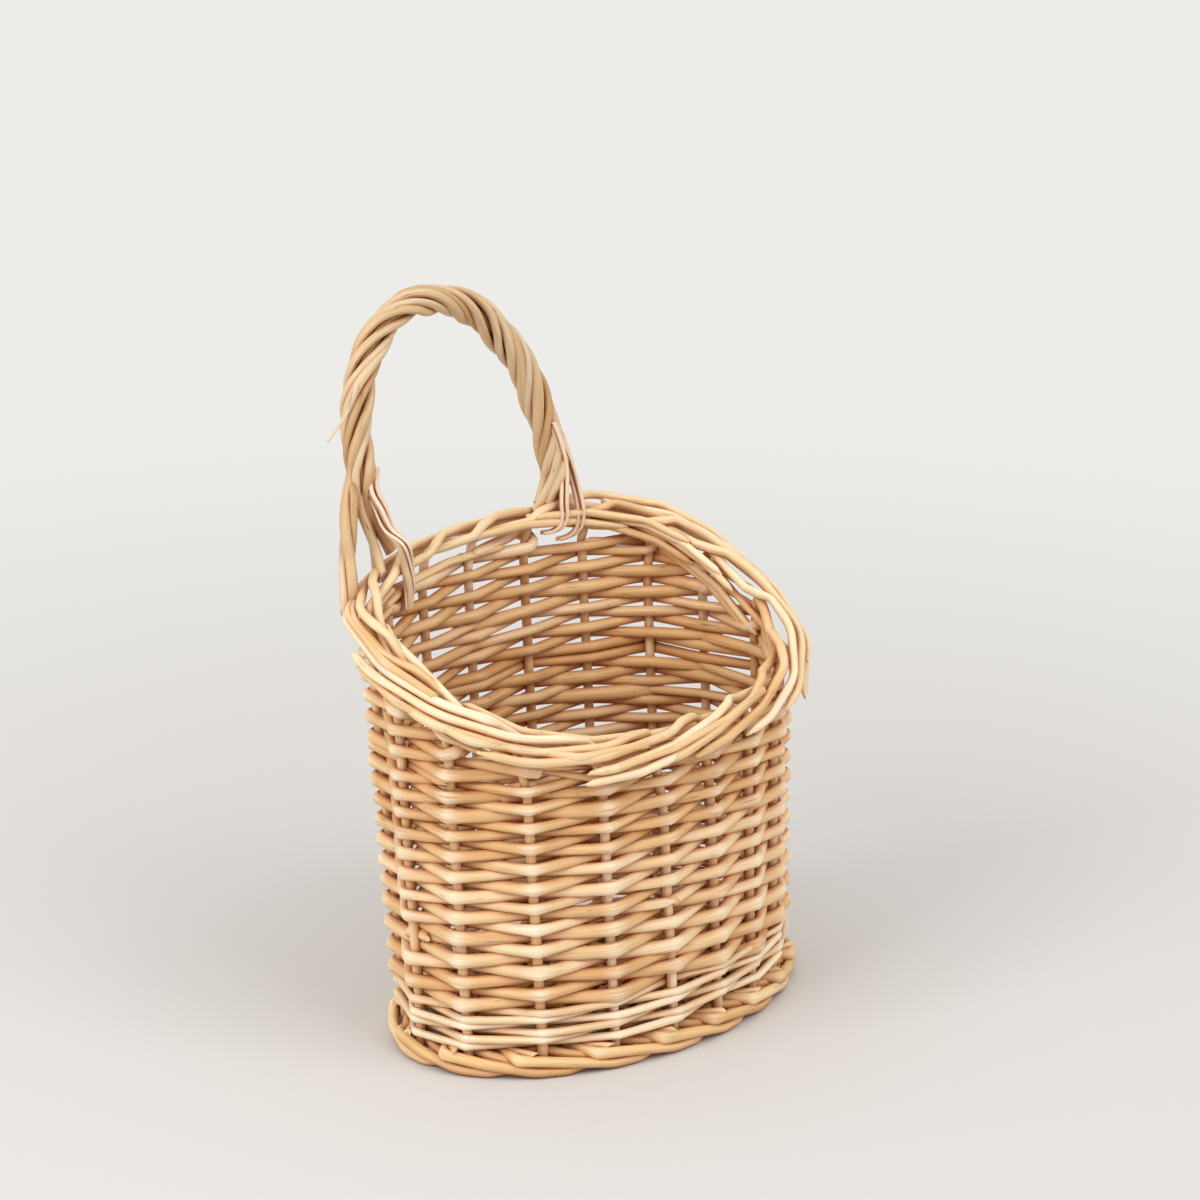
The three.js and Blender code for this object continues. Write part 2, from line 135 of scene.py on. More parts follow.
def rim_line(u):
    """Top of the stake line: it slants up to the back and dips a little at the front and back."""
    xy = on_oval(rim_oval, u)
    across = xy[..., 1] / (RIM_DEPTH / 2)
    z = RIM_HEIGHT + RIM_RISE / 2 * across - RIM_CROWN * across**2
    return np.stack([xy[..., 0], xy[..., 1] + RIM_BACK_SHIFT, z], axis=-1)


def rim_height(u):
    return rim_line(np.asarray(u, float))[..., 2]


def wall_line(u, z):
    foot, rim = on_oval(foot_oval, u), rim_line(u)
    share = np.maximum(0, (z - WALL_START) / (rim[..., 2] - WALL_START))[..., None]
    xy = foot + (rim[..., :2] - foot) * share
    return np.concatenate([xy, np.broadcast_to(z, share.shape[:-1])[..., None]], axis=-1)


def wall_point(u, z, r):
    """A place r millimetres outside the wall's middle line, at a height z."""
    u, z, r = np.broadcast_arrays(np.asarray(u, float), np.asarray(z, float), np.asarray(r, float))
    along = wall_line(u + NEARBY, z) - wall_line(u - NEARBY, z)
    along /= np.linalg.norm(along, axis=-1, keepdims=True)
    out = np.stack([along[..., 1], -along[..., 0], np.zeros_like(z)], axis=-1)
    return wall_line(u, z) + out * r[..., None]


print("top of the stakes: %.1f mm in front, %.1f mm behind" % (rim_height(FRONT), rim_height(BACK)))

# %% [markdown]
# ### Places in the border
#
# In the border it is easier to count in stakes: number 2.5 lies half-way between the third and the
# fourth. The height is counted from the top of the stake line, because the border follows the slant.

# %% Places in the border
def even_stake(index):
    return (index + FIRST_STAKE) / STAKES


def stake_at(index):
    """How far round a stake stands, with its drift. Between two stakes the drift changes evenly."""
    before = math.floor(index)
    here, after = STAKE_DRIFT[before % STAKES], STAKE_DRIFT[(before + 1) % STAKES]
    return even_stake(index + here + (after - here) * (index - before))


def border_place(index, r, v):
    """A place in the top border, r outside and v above the top of the stake line."""
    u = stake_at(index)
    point = wall_point(u, rim_height(u), r)
    point[..., 2] = rim_height(u) + v
    return point


def border_way(*places):
    return [border_place(*place) for place in places]


print("top of stake 1, in mm:", border_place(0, 0, 0).round(1))

# %% [markdown]
# ## The camera
#
# The camera comes early, so that every later step can be looked at from where the picture was taken:
# a long lens, about two metres away, looking 19 degrees down at the basket's left front
# corner. A camera added with its rotation needs no tracking constraint.

# %% Camera
VIEW_TURN, VIEW_DOWN = math.radians(46.99), math.radians(19.0)
FOCAL_IN_PIXELS, PICTURE_SIDE = 5510, 1200
VIEW_DISTANCE = 2.0387
AIM_HEIGHT = 0.150
AIM_PIXEL = (594.35, 622.92)

aim = Vector(foot_middle) + Vector((0, 0, AIM_HEIGHT))
towards_camera = Vector((
    -math.sin(VIEW_TURN) * math.cos(VIEW_DOWN),
    -math.cos(VIEW_TURN) * math.cos(VIEW_DOWN),
    math.sin(VIEW_DOWN),
))
bpy.ops.object.camera_add(
    location=aim + towards_camera * VIEW_DISTANCE,
    rotation=(math.pi / 2 - VIEW_DOWN, 0, -VIEW_TURN),
)
camera = bpy.context.object
camera.name = "camera"
camera.data.sensor_width = 36
camera.data.lens = camera.data.sensor_width * FOCAL_IN_PIXELS / PICTURE_SIDE
camera.data.shift_x = 0.5 - AIM_PIXEL[0] / PICTURE_SIDE
camera.data.shift_y = AIM_PIXEL[1] / PICTURE_SIDE - 0.5
camera.data.clip_start, camera.data.clip_end = 0.05, 50
bpy.context.scene.camera = camera
print("camera at", [round(c, 3) for c in camera.location], "lens %.1f mm" % camera.data.lens)

# %% [markdown]
# ## Helpers for materials
#
# Colours are written as sRGB hex values, as a colour picker shows them. Blender calculates in linear
# light, so one function turns them over. Another adds a shader node, fills its inputs with values or
# with links, and hands back the output that the next node needs.

# %% Colour and node helpers
def linear(hex_colour):
    channels = [int(hex_colour[i:i + 2], 16) / 255 for i in (1, 3, 5)]
    low = [c / 12.92 if c <= 0.04045 else ((c + 0.055) / 1.055) ** 2.4 for c in channels]
    return (*low, 1.0)


def node(tree, kind, inputs=None, output=0, **settings):
    """Adds a node. inputs gives each socket, by name or number, a value or the output that feeds it."""
    made = tree.nodes.new(kind)
    for name, value in settings.items():
        setattr(made, name, value)
    for socket, value in (inputs or {}).items():
        if isinstance(value, bpy.types.NodeSocket):
            tree.links.new(value, made.inputs[socket])
        else:
            made.inputs[socket].default_value = value
    return made.outputs[output]


def set_stops(ramp, stops):
    while len(ramp.elements) < len(stops):
        ramp.elements.new(0.5)
    for element, (position, colour) in zip(ramp.elements, stops):
        element.position = position
        element.color = linear(colour)


# Settings that many nodes share. A Mix node's colours are its sockets 6 and 7, and its output 2.
TIMES_PLUS = {"operation": "MULTIPLY_ADD", "use_clamp": True}
TIMES = {"operation": "MULTIPLY", "use_clamp": True}
LAYER = {"data_type": "RGBA", "blend_type": "MIX"}
STAIN = {"data_type": "RGBA", "blend_type": "MULTIPLY"}
print("a tan in linear light:", [round(c, 3) for c in linear("#DEB580")])

# %% [markdown]
# ## Peeled willow
#
# Willow rods are boiled or peeled raw and show bare wood: cream to tan, with fine fibres along the rod,
# now and then a crack that has gone brown, and small dark specks where buds were. Where a rod is bent
# sharply round a stake its outer fibres are stretched, and the bend shows pale.
#
# The pattern has to run along each rod, however it bends. So each rod carries its own coordinates: an
# attribute named grain, with the place across the rod in x and y and the length along it in z, all in
# millimetres. Noise that is squeezed across the rod and drawn out along it gives fibres.

# %% Patterns along a rod
# How often each changes in a millimetre, across the rod and along it, then its detail and roughness.
PATTERNS = {
    "drift": (0.10, 0.024, 2.0, 0.5),  # a slow change of tone, over some 40 mm
    "fibres": (1.7, 0.05, 4.0, 0.65),  # about 0.5 mm wide and 20 mm long
    "cracks": (0.55, 0.016, 2.5, 0.6),  # lines some 60 mm long
    "patches": (0.08, 0.05, 1.0, 0.5),  # where the wood has cracks at all
    "fray": (1.4, 0.10, 3.0, 0.6),  # torn fibres at a bend, 10 mm long
}
BUDS = (0.30, 0.30, 0.075)  # one in some 13 mm of rod at most


def rod_patterns(tree, grain):
    patterns = {}
    for name, (across, along, detail, roughness) in PATTERNS.items():
        squeezed = {0: grain, 1: (across, across, along)}
        place = node(tree, "ShaderNodeVectorMath", squeezed, operation="MULTIPLY")
        noise = {"Vector": place, "Scale": 1.0, "Detail": detail, "Roughness": roughness}
        patterns[name] = node(tree, "ShaderNodeTexNoise", noise, "Fac")
    return patterns


print("patterns:", ", ".join(PATTERNS))

# %% [markdown]
# ### Tone and fibres
#
# No two rods have the same tone. A second attribute, rod, holds one random number for each rod. With
# the slow drift it picks a colour from a ramp of the willow's tones, and the fibres darken and lighten it.

# %% Tone and fibres
OWN_TONE = 0.62


def wood_colour(tree, patterns, rod, tones):
    tone = node(tree, "ShaderNodeMath", {0: patterns["drift"], 1: 0.9, 2: -0.2}, **TIMES_PLUS)
    tone = node(tree, "ShaderNodeMath", {0: rod, 1: OWN_TONE, 2: tone}, **TIMES_PLUS)
    colour = node(tree, "ShaderNodeValToRGB", {0: tone})
    set_stops(colour.node.color_ramp, tones)
    # Around the middle of the noise the shade is about 1, so the fibres leave the mean tone alone.
    fibres = {0: patterns["fibres"], 1: 1.0, 2: 0.52}
    shade = node(tree, "ShaderNodeMath", fibres, operation="MULTIPLY_ADD")
    return node(tree, "ShaderNodeMix", {0: 0.75, 6: colour, 7: shade}, 2, **STAIN)


print("share of the ramp that a rod's own number covers:", OWN_TONE)

# %% [markdown]
# ### Cracks and buds
#
# A crack is a thin line. Where a slow noise passes its middle value, a narrow band round that value
# makes such a line. A second noise leaves it out of most of the rod. Buds are the cell centres of a
# Voronoi texture, drawn as specks under a millimetre across.

# %% Cracks and buds
CRACK_NARROWNESS, CRACK_STRENGTH = 60.0, 0.75
BUD_SMALLNESS = 9.0


def crack_lines(tree, patterns):
    off_middle = node(tree, "ShaderNodeMath", {0: patterns["cracks"], 1: 0.5}, operation="SUBTRACT")
    off_middle = node(tree, "ShaderNodeMath", {0: off_middle}, operation="ABSOLUTE")
    line = node(tree, "ShaderNodeMath", {0: off_middle, 1: -CRACK_NARROWNESS, 2: 1.0}, **TIMES_PLUS)
    patch = node(tree, "ShaderNodeMath", {0: patterns["patches"], 1: 7.0, 2: -3.9}, **TIMES_PLUS)
    return node(tree, "ShaderNodeMath", {0: line, 1: patch}, **TIMES)


def with_marks(tree, colour, grain, lines, brown, bud_strength):
    strength = node(tree, "ShaderNodeMath", {0: lines, 1: CRACK_STRENGTH}, **TIMES)
    colour = node(tree, "ShaderNodeMix", {0: strength, 6: colour, 7: linear(brown)}, 2, **LAYER)
    place = node(tree, "ShaderNodeVectorMath", {0: grain, 1: BUDS}, operation="MULTIPLY")
    buds = node(tree, "ShaderNodeTexVoronoi", {"Vector": place, "Scale": 1.0}, "Distance")
    speck = node(tree, "ShaderNodeMath", {0: buds, 1: -BUD_SMALLNESS, 2: 1.0}, **TIMES_PLUS)
    speck = node(tree, "ShaderNodeMath", {0: speck, 1: bud_strength}, **TIMES)
    return node(tree, "ShaderNodeMix", {0: speck, 6: colour, 7: linear(brown)}, 2, **LAYER)


print("a bud is %.1f mm across" % (2 / BUD_SMALLNESS / BUDS[0]))

# %% [markdown]
# ### Bends, painted crevice shade and cut ends
#
# A third attribute, kink, says how hard the rod is bent. There the stretched fibres show pale, in
# streaks. Down in the crevices, where shade falls, the colour is painted darker and browner: painted
# shade. Ambient occlusion finds them: it measures how much of its surroundings a place can see. A
# fourth attribute, cut, marks the cut ends, which show pale wood round a brown pith: it is 1 at the
# edge and 0.5 in the middle of an end, and 0 elsewhere.

# %% Bends, painted crevice shade and cut ends
BEND_PALENESS = 0.9
# Painted shade: how far ambient occlusion looks for crevices, how strongly it darkens them, and the brown it
# mixes in.
PAINTED_SHADE_DEPTH, PAINTED_SHADE_STRENGTH, PAINTED_SHADE_BROWN = 0.007, 0.95, "#C8761A"


def with_bends(tree, colour, patterns, kink, pale):
    streaks = node(tree, "ShaderNodeMath", {0: patterns["fray"], 1: 3.2, 2: -1.0}, **TIMES_PLUS)
    bent = node(tree, "ShaderNodeMath", {0: kink, 1: BEND_PALENESS}, **TIMES)
    bleach = node(tree, "ShaderNodeMath", {0: bent, 1: streaks}, **TIMES)
    return node(tree, "ShaderNodeMix", {0: bleach, 6: colour, 7: linear(pale)}, 2, **LAYER)


# Painted shade: where ambient occlusion sees little, the colour is made darker and browner in place of the
# shade that falls in the crevices.
def with_painted_crevice_shade(tree, colour):
    seen = node(tree, "ShaderNodeAmbientOcclusion", {"Distance": PAINTED_SHADE_DEPTH}, "AO", samples=6)
    seen = node(tree, "ShaderNodeMath", {0: seen, 1: 0.9}, operation="POWER", use_clamp=True)
    hidden = {0: seen, 1: -PAINTED_SHADE_STRENGTH, 2: PAINTED_SHADE_STRENGTH}
    hidden = node(tree, "ShaderNodeMath", hidden, **TIMES_PLUS)
    brown = node(tree, "ShaderNodeMix", {0: 0.92, 6: colour, 7: linear(PAINTED_SHADE_BROWN)}, 2, **STAIN)
    return node(tree, "ShaderNodeMix", {0: hidden, 6: colour, 7: brown}, 2, **LAYER)


def with_cut_ends(tree, colour, cut, tones, brown):
    darkest, palest = tones[-1][1], tones[0][1]
    rings = node(tree, "ShaderNodeValToRGB", {0: cut})
    set_stops(rings.node.color_ramp, [(0.5, brown), (0.56, darkest), (0.8, palest), (1.0, darkest)])
    is_end = node(tree, "ShaderNodeMath", {0: cut, 1: 0.3}, operation="GREATER_THAN")
    return node(tree, "ShaderNodeMix", {0: is_end, 6: colour, 7: rings}, 2, **LAYER)


print("crevices are looked for within %.0f mm" % (PAINTED_SHADE_DEPTH / MM))

# %% [markdown]
# ### The whole material
#
# Wood has an IOR of about 1.5. Peeled willow is smooth, so its roughness is near 0.5, and the fibres
# vary it. The bump lets the fibres and cracks catch the light. It is a quarter of a millimetre deep
# at most, and all larger forms are in the mesh.

# %% Willow material
BUMP_DEPTH = 0.25 * MM


def willow_material(name, tones, pale, brown, bud_strength=0.5, roughness=0.5):
    material = bpy.data.materials.new(name)
    material.use_nodes = True
    tree = material.node_tree
    shader = tree.nodes["Principled BSDF"]
    grain = node(tree, "ShaderNodeAttribute", None, "Vector", attribute_name="grain")
    rod, kink, cut = (
        node(tree, "ShaderNodeAttribute", None, "Fac", attribute_name=label)
        for label in ("rod", "kink", "cut")
    )
    patterns = rod_patterns(tree, grain)
    lines = crack_lines(tree, patterns)
    colour = wood_colour(tree, patterns, rod, tones)
    colour = with_marks(tree, colour, grain, lines, brown, bud_strength)
    colour = with_bends(tree, colour, patterns, kink, pale)
    # The crevices get their painted shade before the cut ends are laid on.
    colour = with_cut_ends(tree, with_painted_crevice_shade(tree, colour), cut, tones, brown)

    relief = {0: lines, 1: -0.8, 2: patterns["fibres"]}
    height = node(tree, "ShaderNodeMath", relief, operation="MULTIPLY_ADD")
    bump = node(tree, "ShaderNodeBump", {"Strength": 0.45, "Distance": BUMP_DEPTH, "Height": height})
    dull = {0: patterns["fibres"], 1: 0.25, 2: roughness - 0.12}
    tree.links.new(colour, shader.inputs["Base Color"])
    tree.links.new(node(tree, "ShaderNodeMath", dull, **TIMES_PLUS), shader.inputs["Roughness"])
    tree.links.new(bump, shader.inputs["Normal"])
    shader.inputs["IOR"].default_value = 1.5
    return material


print("bump: %.2f mm" % (BUMP_DEPTH / MM))

# %% [markdown]
# ### The willows of this basket
#
# The rods differ in age and kind. The border and the wale are the palest, the foot is yellowish, the
# handle greyer with marked buds, and the fine rods that tie it are pinkish. The base sits in the shade,
# and its tones are painted darker for it: painted shade. It was never rubbed, so it is duller too.

# %% Willows
TAN = [(0.0, "#F4DEBE"), (0.35, "#EACA9E"), (0.7, "#DEB580"), (1.0, "#CC975C")]
PALE_TAN = [(0.0, "#F6E5CA"), (0.35, "#EED6AC"), (0.7, "#E3C08E"), (1.0, "#D3A56C")]
CREAM = [(0.0, "#F7E8CA"), (0.4, "#EED6AE"), (1.0, "#DBB687")]
YELLOW = [(0.0, "#F2D8AC"), (0.5, "#E6C088"), (1.0, "#D0A265")]
# The base's tones are painted darker for the shade it sits in: painted shade.
SHADED = [(0.0, "#DCB484"), (0.5, "#C99C68"), (1.0, "#AF814E")]
GREY_TAN = [(0.0, "#E2CFB4"), (0.4, "#D2B48B"), (0.75, "#C29C6C"), (1.0, "#AC8152")]
PINK = [(0.0, "#F6E6D2"), (0.5, "#EACFB2"), (1.0, "#D8B494")]
willow = {
    "stakes": willow_material("peeled willow, stakes", PALE_TAN, "#F9ECD6", "#6E4022"),
    "weavers": willow_material("peeled willow, weavers", TAN, "#F9EAD4", "#643618"),
    "wale": willow_material("fine peeled willow, wale", CREAM, "#FCF3E2", "#7A4C2A", 0.3),
    "foot_border": willow_material("peeled willow, foot", YELLOW, "#F8E8CC", "#6A3C1C", 0.8),
    # The base's colours are painted darker as painted shade.
    "base": willow_material("dry willow, base", SHADED, "#E4C79A", "#5C3418", 0.4, 0.62),
    "handle": willow_material("peeled willow, handle", GREY_TAN, "#F0E2CE", "#57351E", 0.8),
    "ties": willow_material("fine pink willow, ties", PINK, "#FAEEE0", "#7A4C30", 0.3),
}
print("materials:", ", ".join(m.name for m in willow.values()))

# %% [markdown]
# ## Sweeping a rod
#
# Blender could give a curve a round bevel, and for one rod that is the quickest way. Here each rod
# also thins towards its tip, is a little out of round, flattens where it is bent round a stake, ends in
# a slanted cut, and carries its attributes. A curve's bevel can't do all that, so the mesh is made in
# code. First the rod's corners are rounded. At each corner a curved stretch takes the place of the
# sharp turn, and the kink there is as strong as the turn is wide.

# %% Rounding a rod's corners
rng = np.random.default_rng(18)
RING_STEP, BEND_STEPS = 2.6, 5
WIDEST_TURN, SHARE_OF_STRAIGHT = 2.6, 0.47
# The stretched wood fades out over this length on either side of a bend.
KINK_REACH = 3.4


def unit(v):
    return v / np.maximum(np.linalg.norm(v, axis=-1, keepdims=True), 1e-9)


def rounded(corners, bend_radius, step, full_kink):
    """Points along a rod, how hard it is bent at each, and the way to the inside of the bend."""
    corners = np.asarray(corners, float)
    points, kinks, inward = [corners[0]], [0.0], [np.zeros(3)]

    def run_to(target, to_end=0):
        start = points[-1]
        count = max(1, round(float(np.linalg.norm(target - start)) / step))
        for k in range(1, count + to_end):
            points.append(start + (target - start) * k / count)
            kinks.append(0.0)
            inward.append(np.zeros(3))

    bends = np.broadcast_to(bend_radius, len(corners) - 2)
    for bend, before, corner, after in zip(bends, corners, corners[1:], corners[2:]):
        back, ahead = before - corner, after - corner
        long_back, long_ahead = np.linalg.norm(back), np.linalg.norm(ahead)
        back, ahead = back / long_back, ahead / long_ahead
        turn = math.acos(float(np.clip(-back @ ahead, -1, 1)))
        cut = bend * math.tan(min(turn, WIDEST_TURN) / 2)
        cut = min(cut, SHARE_OF_STRAIGHT * long_back, SHARE_OF_STRAIGHT * long_ahead)
        start, end = corner + back * cut, corner + ahead * cut
        run_to(start)
        for k in range(BEND_STEPS + 1):
            t = k / BEND_STEPS
            points.append((1 - t) ** 2 * start + 2 * t * (1 - t) * corner + t * t * end)
            kinks.append(math.sin(math.pi * t) * min(1.0, turn / full_kink) ** 2)
            inward.append(unit(back + ahead))
    run_to(corners[-1], 1)
    points, kinks, inward = np.array(points), np.array(kinks), np.array(inward)

    run = lengths_along(points)
    near = np.exp(-(((run[:, None] - run[None]) / KINK_REACH) ** 2)) * kinks[None]
    return points, near.max(axis=1), inward[near.argmax(axis=1)]


bent_once = rounded([(0, 0, 0), (20, 0, 0), (20, 20, 0)], 3.0, RING_STEP, 0.8)
print("a rod bent once has", len(bent_once[0]), "rings, and its kink is %.2f" % bent_once[1].max())

# %% [markdown]
# ### The rings
#
# A ring of points is carried along the rod. Two directions across the rod are needed at each place.
# They come from the place before, turned as little as possible, so the rod isn't twisted. The rings
# are out of round by a few hundredths, in waves that differ from rod to rod.

# %% Rings along a rod
FIRST_WAVE, SECOND_WAVE = 9.0, 23.0
OVAL_TURN, THREE_SIDED_TURN, THREE_SIDED = 40, 31, 0.6
BLUNT, WIDENED = 0.4, 0.6


def across_rod(tangent):
    normal = np.zeros_like(tangent)
    side = np.array([0.0, 0.0, 1.0]) if abs(tangent[0][2]) < 0.9 else np.array([1.0, 0.0, 0.0])
    for i, ahead in enumerate(tangent):
        side = unit(side - (side @ ahead) * ahead)
        normal[i] = side
    return normal, np.cross(tangent, normal)


def uneven(radius, length, angle, wobble, whittled, phase):
    """The radius at each place of each ring, and its mean for the ring."""
    waves = np.sin(length / FIRST_WAVE + phase[0]) * np.sin(length / SECOND_WAVE + phase[1])
    radius = radius * (1 + wobble * waves)
    if whittled:
        radius = radius * np.clip(BLUNT + (length[-1] - length) / whittled, 0, 1)
    out_of_round = (
        1
        + wobble * np.cos(2 * angle[None] + phase[2] + length[:, None] / OVAL_TURN)
        + THREE_SIDED * wobble * np.cos(3 * angle[None] + phase[3] - length[:, None] / THREE_SIDED_TURN)
    )
    return radius[:, None] * out_of_round, radius


def flattened(offset, tangent, inward, amount):
    """At a bend the rod is thinner through the bend and wider beside it."""
    beside = unit(np.cross(tangent, inward))
    through = np.einsum("nsk,nk->ns", offset, inward)
    across = np.einsum("nsk,nk->ns", offset, beside)
    offset = offset - (amount * through)[..., None] * inward[:, None]
    return offset + (WIDENED * amount * across)[..., None] * beside[:, None]


print("a wobble of 3 %% changes the radius by up to about %.0f %%" % (3 * (2 + THREE_SIDED)))

# %% [markdown]
# ### Collecting rods
#
# Many pieces hold more than one rod, so a small class collects their points, faces and attributes. An
# end is closed with two rings and a middle, so that the pith can show. The faces of the first end are
# turned round, because both ends have to look outwards.

# %% Collecting rods
PITH_EDGE, PITH_EDGE_CUT, PITH_CUT = 0.45, 0.72, 0.5


class Rods:
    """Collects the points and faces of rods, with the attributes that the willow reads."""

    def __init__(self):
        self.points, self.faces, self.grain, self.rod, self.kink, self.cut = [], [], [], [], [], []
        self.count = 0

    def add(self, rows, grain, tone, kink, cut):
        self.points.append(rows)
        self.grain.append(grain)
        self.rod.append(np.full(len(rows), tone))
        self.kink.append(kink)
        self.cut.append(cut)
        first, self.count = self.count, self.count + len(rows)
        return first


def close_end(rods, ring, grain, tone, turned):
    sides = len(ring)
    middle = ring.mean(axis=0)
    rows = np.concatenate([ring, middle + (ring - middle) * PITH_EDGE, middle[None]])
    cut = np.concatenate([np.ones(sides), np.full(sides, PITH_EDGE_CUT), [PITH_CUT]])
    grain_rows = np.concatenate([grain, grain, grain.mean(axis=0)[None]])
    first = rods.add(rows, grain_rows, tone, np.zeros(len(rows)), cut)
    for j in range(sides):
        k = (j + 1) % sides
        quad = [first + j, first + k, first + sides + k, first + sides + j]
        fan = [first + sides + j, first + sides + k, first + 2 * sides]
        rods.faces += [[face[::-1] if turned else face] for face in (quad, fan)]


print("points in a new collection:", Rods().count)

# %% [markdown]
# ### One rod
#
# Now the parts come together. The rings are laid out, flattened at the bends, slanted at the ends and
# worn flat where the rod stands on the ground. A random shift of its coordinates gives each rod its own
# part of the patterns, and it has a random tone unless one is given. A bent rod is rounded first.

# %% Sweeping a rod
SIDES, GRAIN_SHIFT = 10, 900


def sweep(rods, path, start_radius, end_radius=None, kinks=None, inward=None, sides=SIDES,
          flatten=0.22, wobble=0.03, slant=(0.3, 0.3), tone=None, worn=None, whittled=0.0):
    """Adds a rod along path. whittled is the length over which its end is cut to a point."""
    path = np.asarray(path, float)
    n = len(path)
    end_radius = start_radius if end_radius is None else end_radius
    kinks = np.zeros(n) if kinks is None else kinks
    inward = np.zeros((n, 3)) if inward is None else inward
    length = lengths_along(path)
    tangent = unit(np.gradient(path, axis=0))
    normal, other = across_rod(tangent)

    phase = rng.uniform(0, 2 * np.pi, 6)
    angle = np.arange(sides) * 2 * np.pi / sides
    radius = start_radius + (end_radius - start_radius) * length / length[-1]
    reach, radius = uneven(radius, length, angle, wobble, whittled, phase)
    cos, sin = np.cos(angle)[None, :, None], np.sin(angle)[None, :, None]
    offset = (cos * normal[:, None] + sin * other[:, None]) * reach[..., None]
    offset = flattened(offset, tangent, inward, flatten * kinks[:, None])
    rings = path[:, None] + offset
    for end, row, sign in ((0, 0, -1), (1, n - 1, 1)):
        lean = slant[end] * np.cos(angle + phase[4 + end])
        rings[row] += sign * tangent[row] * (lean * radius[row])[:, None]
    if worn is not None:
        rings[..., 2] = np.maximum(rings[..., 2], worn)

    shift = rng.uniform(0, GRAIN_SHIFT)
    tone = rng.uniform() if tone is None else tone
    grain = np.empty((n, sides, 3))
    grain[..., 0] = np.cos(angle) * radius[:, None]
    grain[..., 1] = np.sin(angle) * radius[:, None] + shift
    grain[..., 2] = length[:, None] + 3 * shift
    # The outside of a bend is stretched most.
    stretched = np.maximum(-np.einsum("nsk,nk->ns", unit(offset), inward), 0)
    kink = kinks[:, None] * (0.35 + 0.65 * np.minimum(stretched, 1))
    first = rods.add(rings.reshape(-1, 3), grain.reshape(-1, 3), tone, kink.ravel(), np.zeros(n * sides))
    ring = np.arange(sides)
    following = (ring + 1) % sides
    for a in range(first, first + (n - 1) * sides, sides):
        b = a + sides
        rods.faces.append(np.stack([a + ring, a + following, b + following, b + ring], axis=1))
    for row, turned in ((0, True), (n - 1, False)):
        close_end(rods, rings[row], grain[row], tone, turned)
    return rods


def bent_rod(rods, corners, bend_radius, butt, tip, step=RING_STEP, full_kink=0.8, **finish):
    path, kinks, inward = rounded(corners, bend_radius, step, full_kink)
    return sweep(rods, path, butt, tip, kinks, inward, **finish)


print("sides of a rod:", SIDES)

# %% [markdown]
# ### Making a piece
#
# The collected points become one mesh. It lies in metres from the frame's origin, so the object itself
# stays at the origin, unturned and unscaled. Shading is smooth, except where faces meet at more than 50
# degrees, as at a cut end. Then the piece says what it rides on and which CAD nodes it replaces.

# %% Making a piece
def make_piece(rods, name, slot, *nodes):
    points = np.concatenate(rods.points) * MM + foot_middle
    faces = [list(map(int, face)) for block in rods.faces for face in block]
    mesh = bpy.data.meshes.new(name)
    mesh.from_pydata(points.tolist(), [], faces)
    for label, values, kind, field in (
        ("grain", rods.grain, "FLOAT_VECTOR", "vector"),
        ("rod", rods.rod, "FLOAT", "value"),
        ("kink", rods.kink, "FLOAT", "value"),
        ("cut", rods.cut, "FLOAT", "value"),
    ):
        layer = mesh.attributes.new(label, kind, "POINT")
        layer.data.foreach_set(field, np.concatenate(values).astype(np.float32).ravel())
    mesh.validate()
    made = bpy.data.objects.new(name, mesh)
    bpy.context.scene.collection.objects.link(made)
    made.data.materials.append(willow[slot])
    bpy.ops.object.select_all(action="DESELECT")
    made.select_set(True)
    bpy.context.view_layer.objects.active = made
    bpy.ops.object.shade_smooth_by_angle(angle=math.radians(50))
    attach(made, "root")
    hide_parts(*nodes)


def numbered(name, index):
    return "%s_%02d" % (name, index + 1)


print("first stake's name:", numbered("willow_stake", 0))

# %% [markdown]
# ## Stakes and the top border
#
# Eighteen stakes stand in the wall. At the rim each is bent over to the left, goes inside the next
# stake, over the top, and outside the others until it is cut off. Together they are the thick rolled
# border. One stake is worked out and the others repeat it round the oval, each with a little of its
# own: a willow basket is never quite regular.

# %% A stake's way through the border
# From the stake itself: gaps to the left, then millimetres outside and above the stake line.
BORDER_STEPS = [
    (0.12, 0, 1.0), (0.5, -2.3, 1.4), (1, -4.0, 2.3), (1.25, -2.9, 4.9),
    (1.52, 0.1, 6.1), (2, 3.6, 4.3), (3, 6.5, 1.2), (4, 8.5, -2.3), (4.6, 7.9, -4.6),
]
BORDER_BENDS = [7, 9, 7, 9, 28, 28, 28]
# Rods of the border that stand off it at the right-hand end, by how many millimetres.
LOOSE = {16: 0.4, 17: 0.9, 0: 1.6, 1: 2.2, 2: 2.4, 3: 1.2}
LOOSE_FROM = 1.6
# How far the hand strays: along the rim in gaps, and in millimetres.
GAP_SCATTER, BORDER_SCATTER, WALL_SCATTER = 0.06, 0.2, 0.12


def border_rod(index):
    corners = []
    for gaps, r, v in BORDER_STEPS:
        gaps = gaps + (rng.normal(0, GAP_SCATTER) if gaps > 1 else 0)
        off = LOOSE.get(index, 0) * min(max(gaps - LOOSE_FROM, 0), 1)
        r, v = r + off + rng.normal(0, BORDER_SCATTER), v + rng.normal(0, BORDER_SCATTER)
        corners.append(border_place(index - gaps, r, v))
    shorter = rng.uniform(0, 0.5)
    corners[-1] = corners[-1] + shorter * (corners[-2] - corners[-1])
    return corners


print("a stake's steps in the border:", len(BORDER_STEPS))

# %% [markdown]
# ### The stakes
#
# In the wall a stake isn't dead straight, because the weavers push it in and out a little. It is a
# thick rod at the foot and thinner in the border, and whittled to a point at its cut end.

# %% Stakes
STAKE_FOOT, STAKE_BUTT, STAKE_TIP = 5, 2.0, 1.65
WALL_BEND, WALL_STEP, WALL_CORNERS_FROM, BELOW_BORDER = 3.2, 16, 30, 8

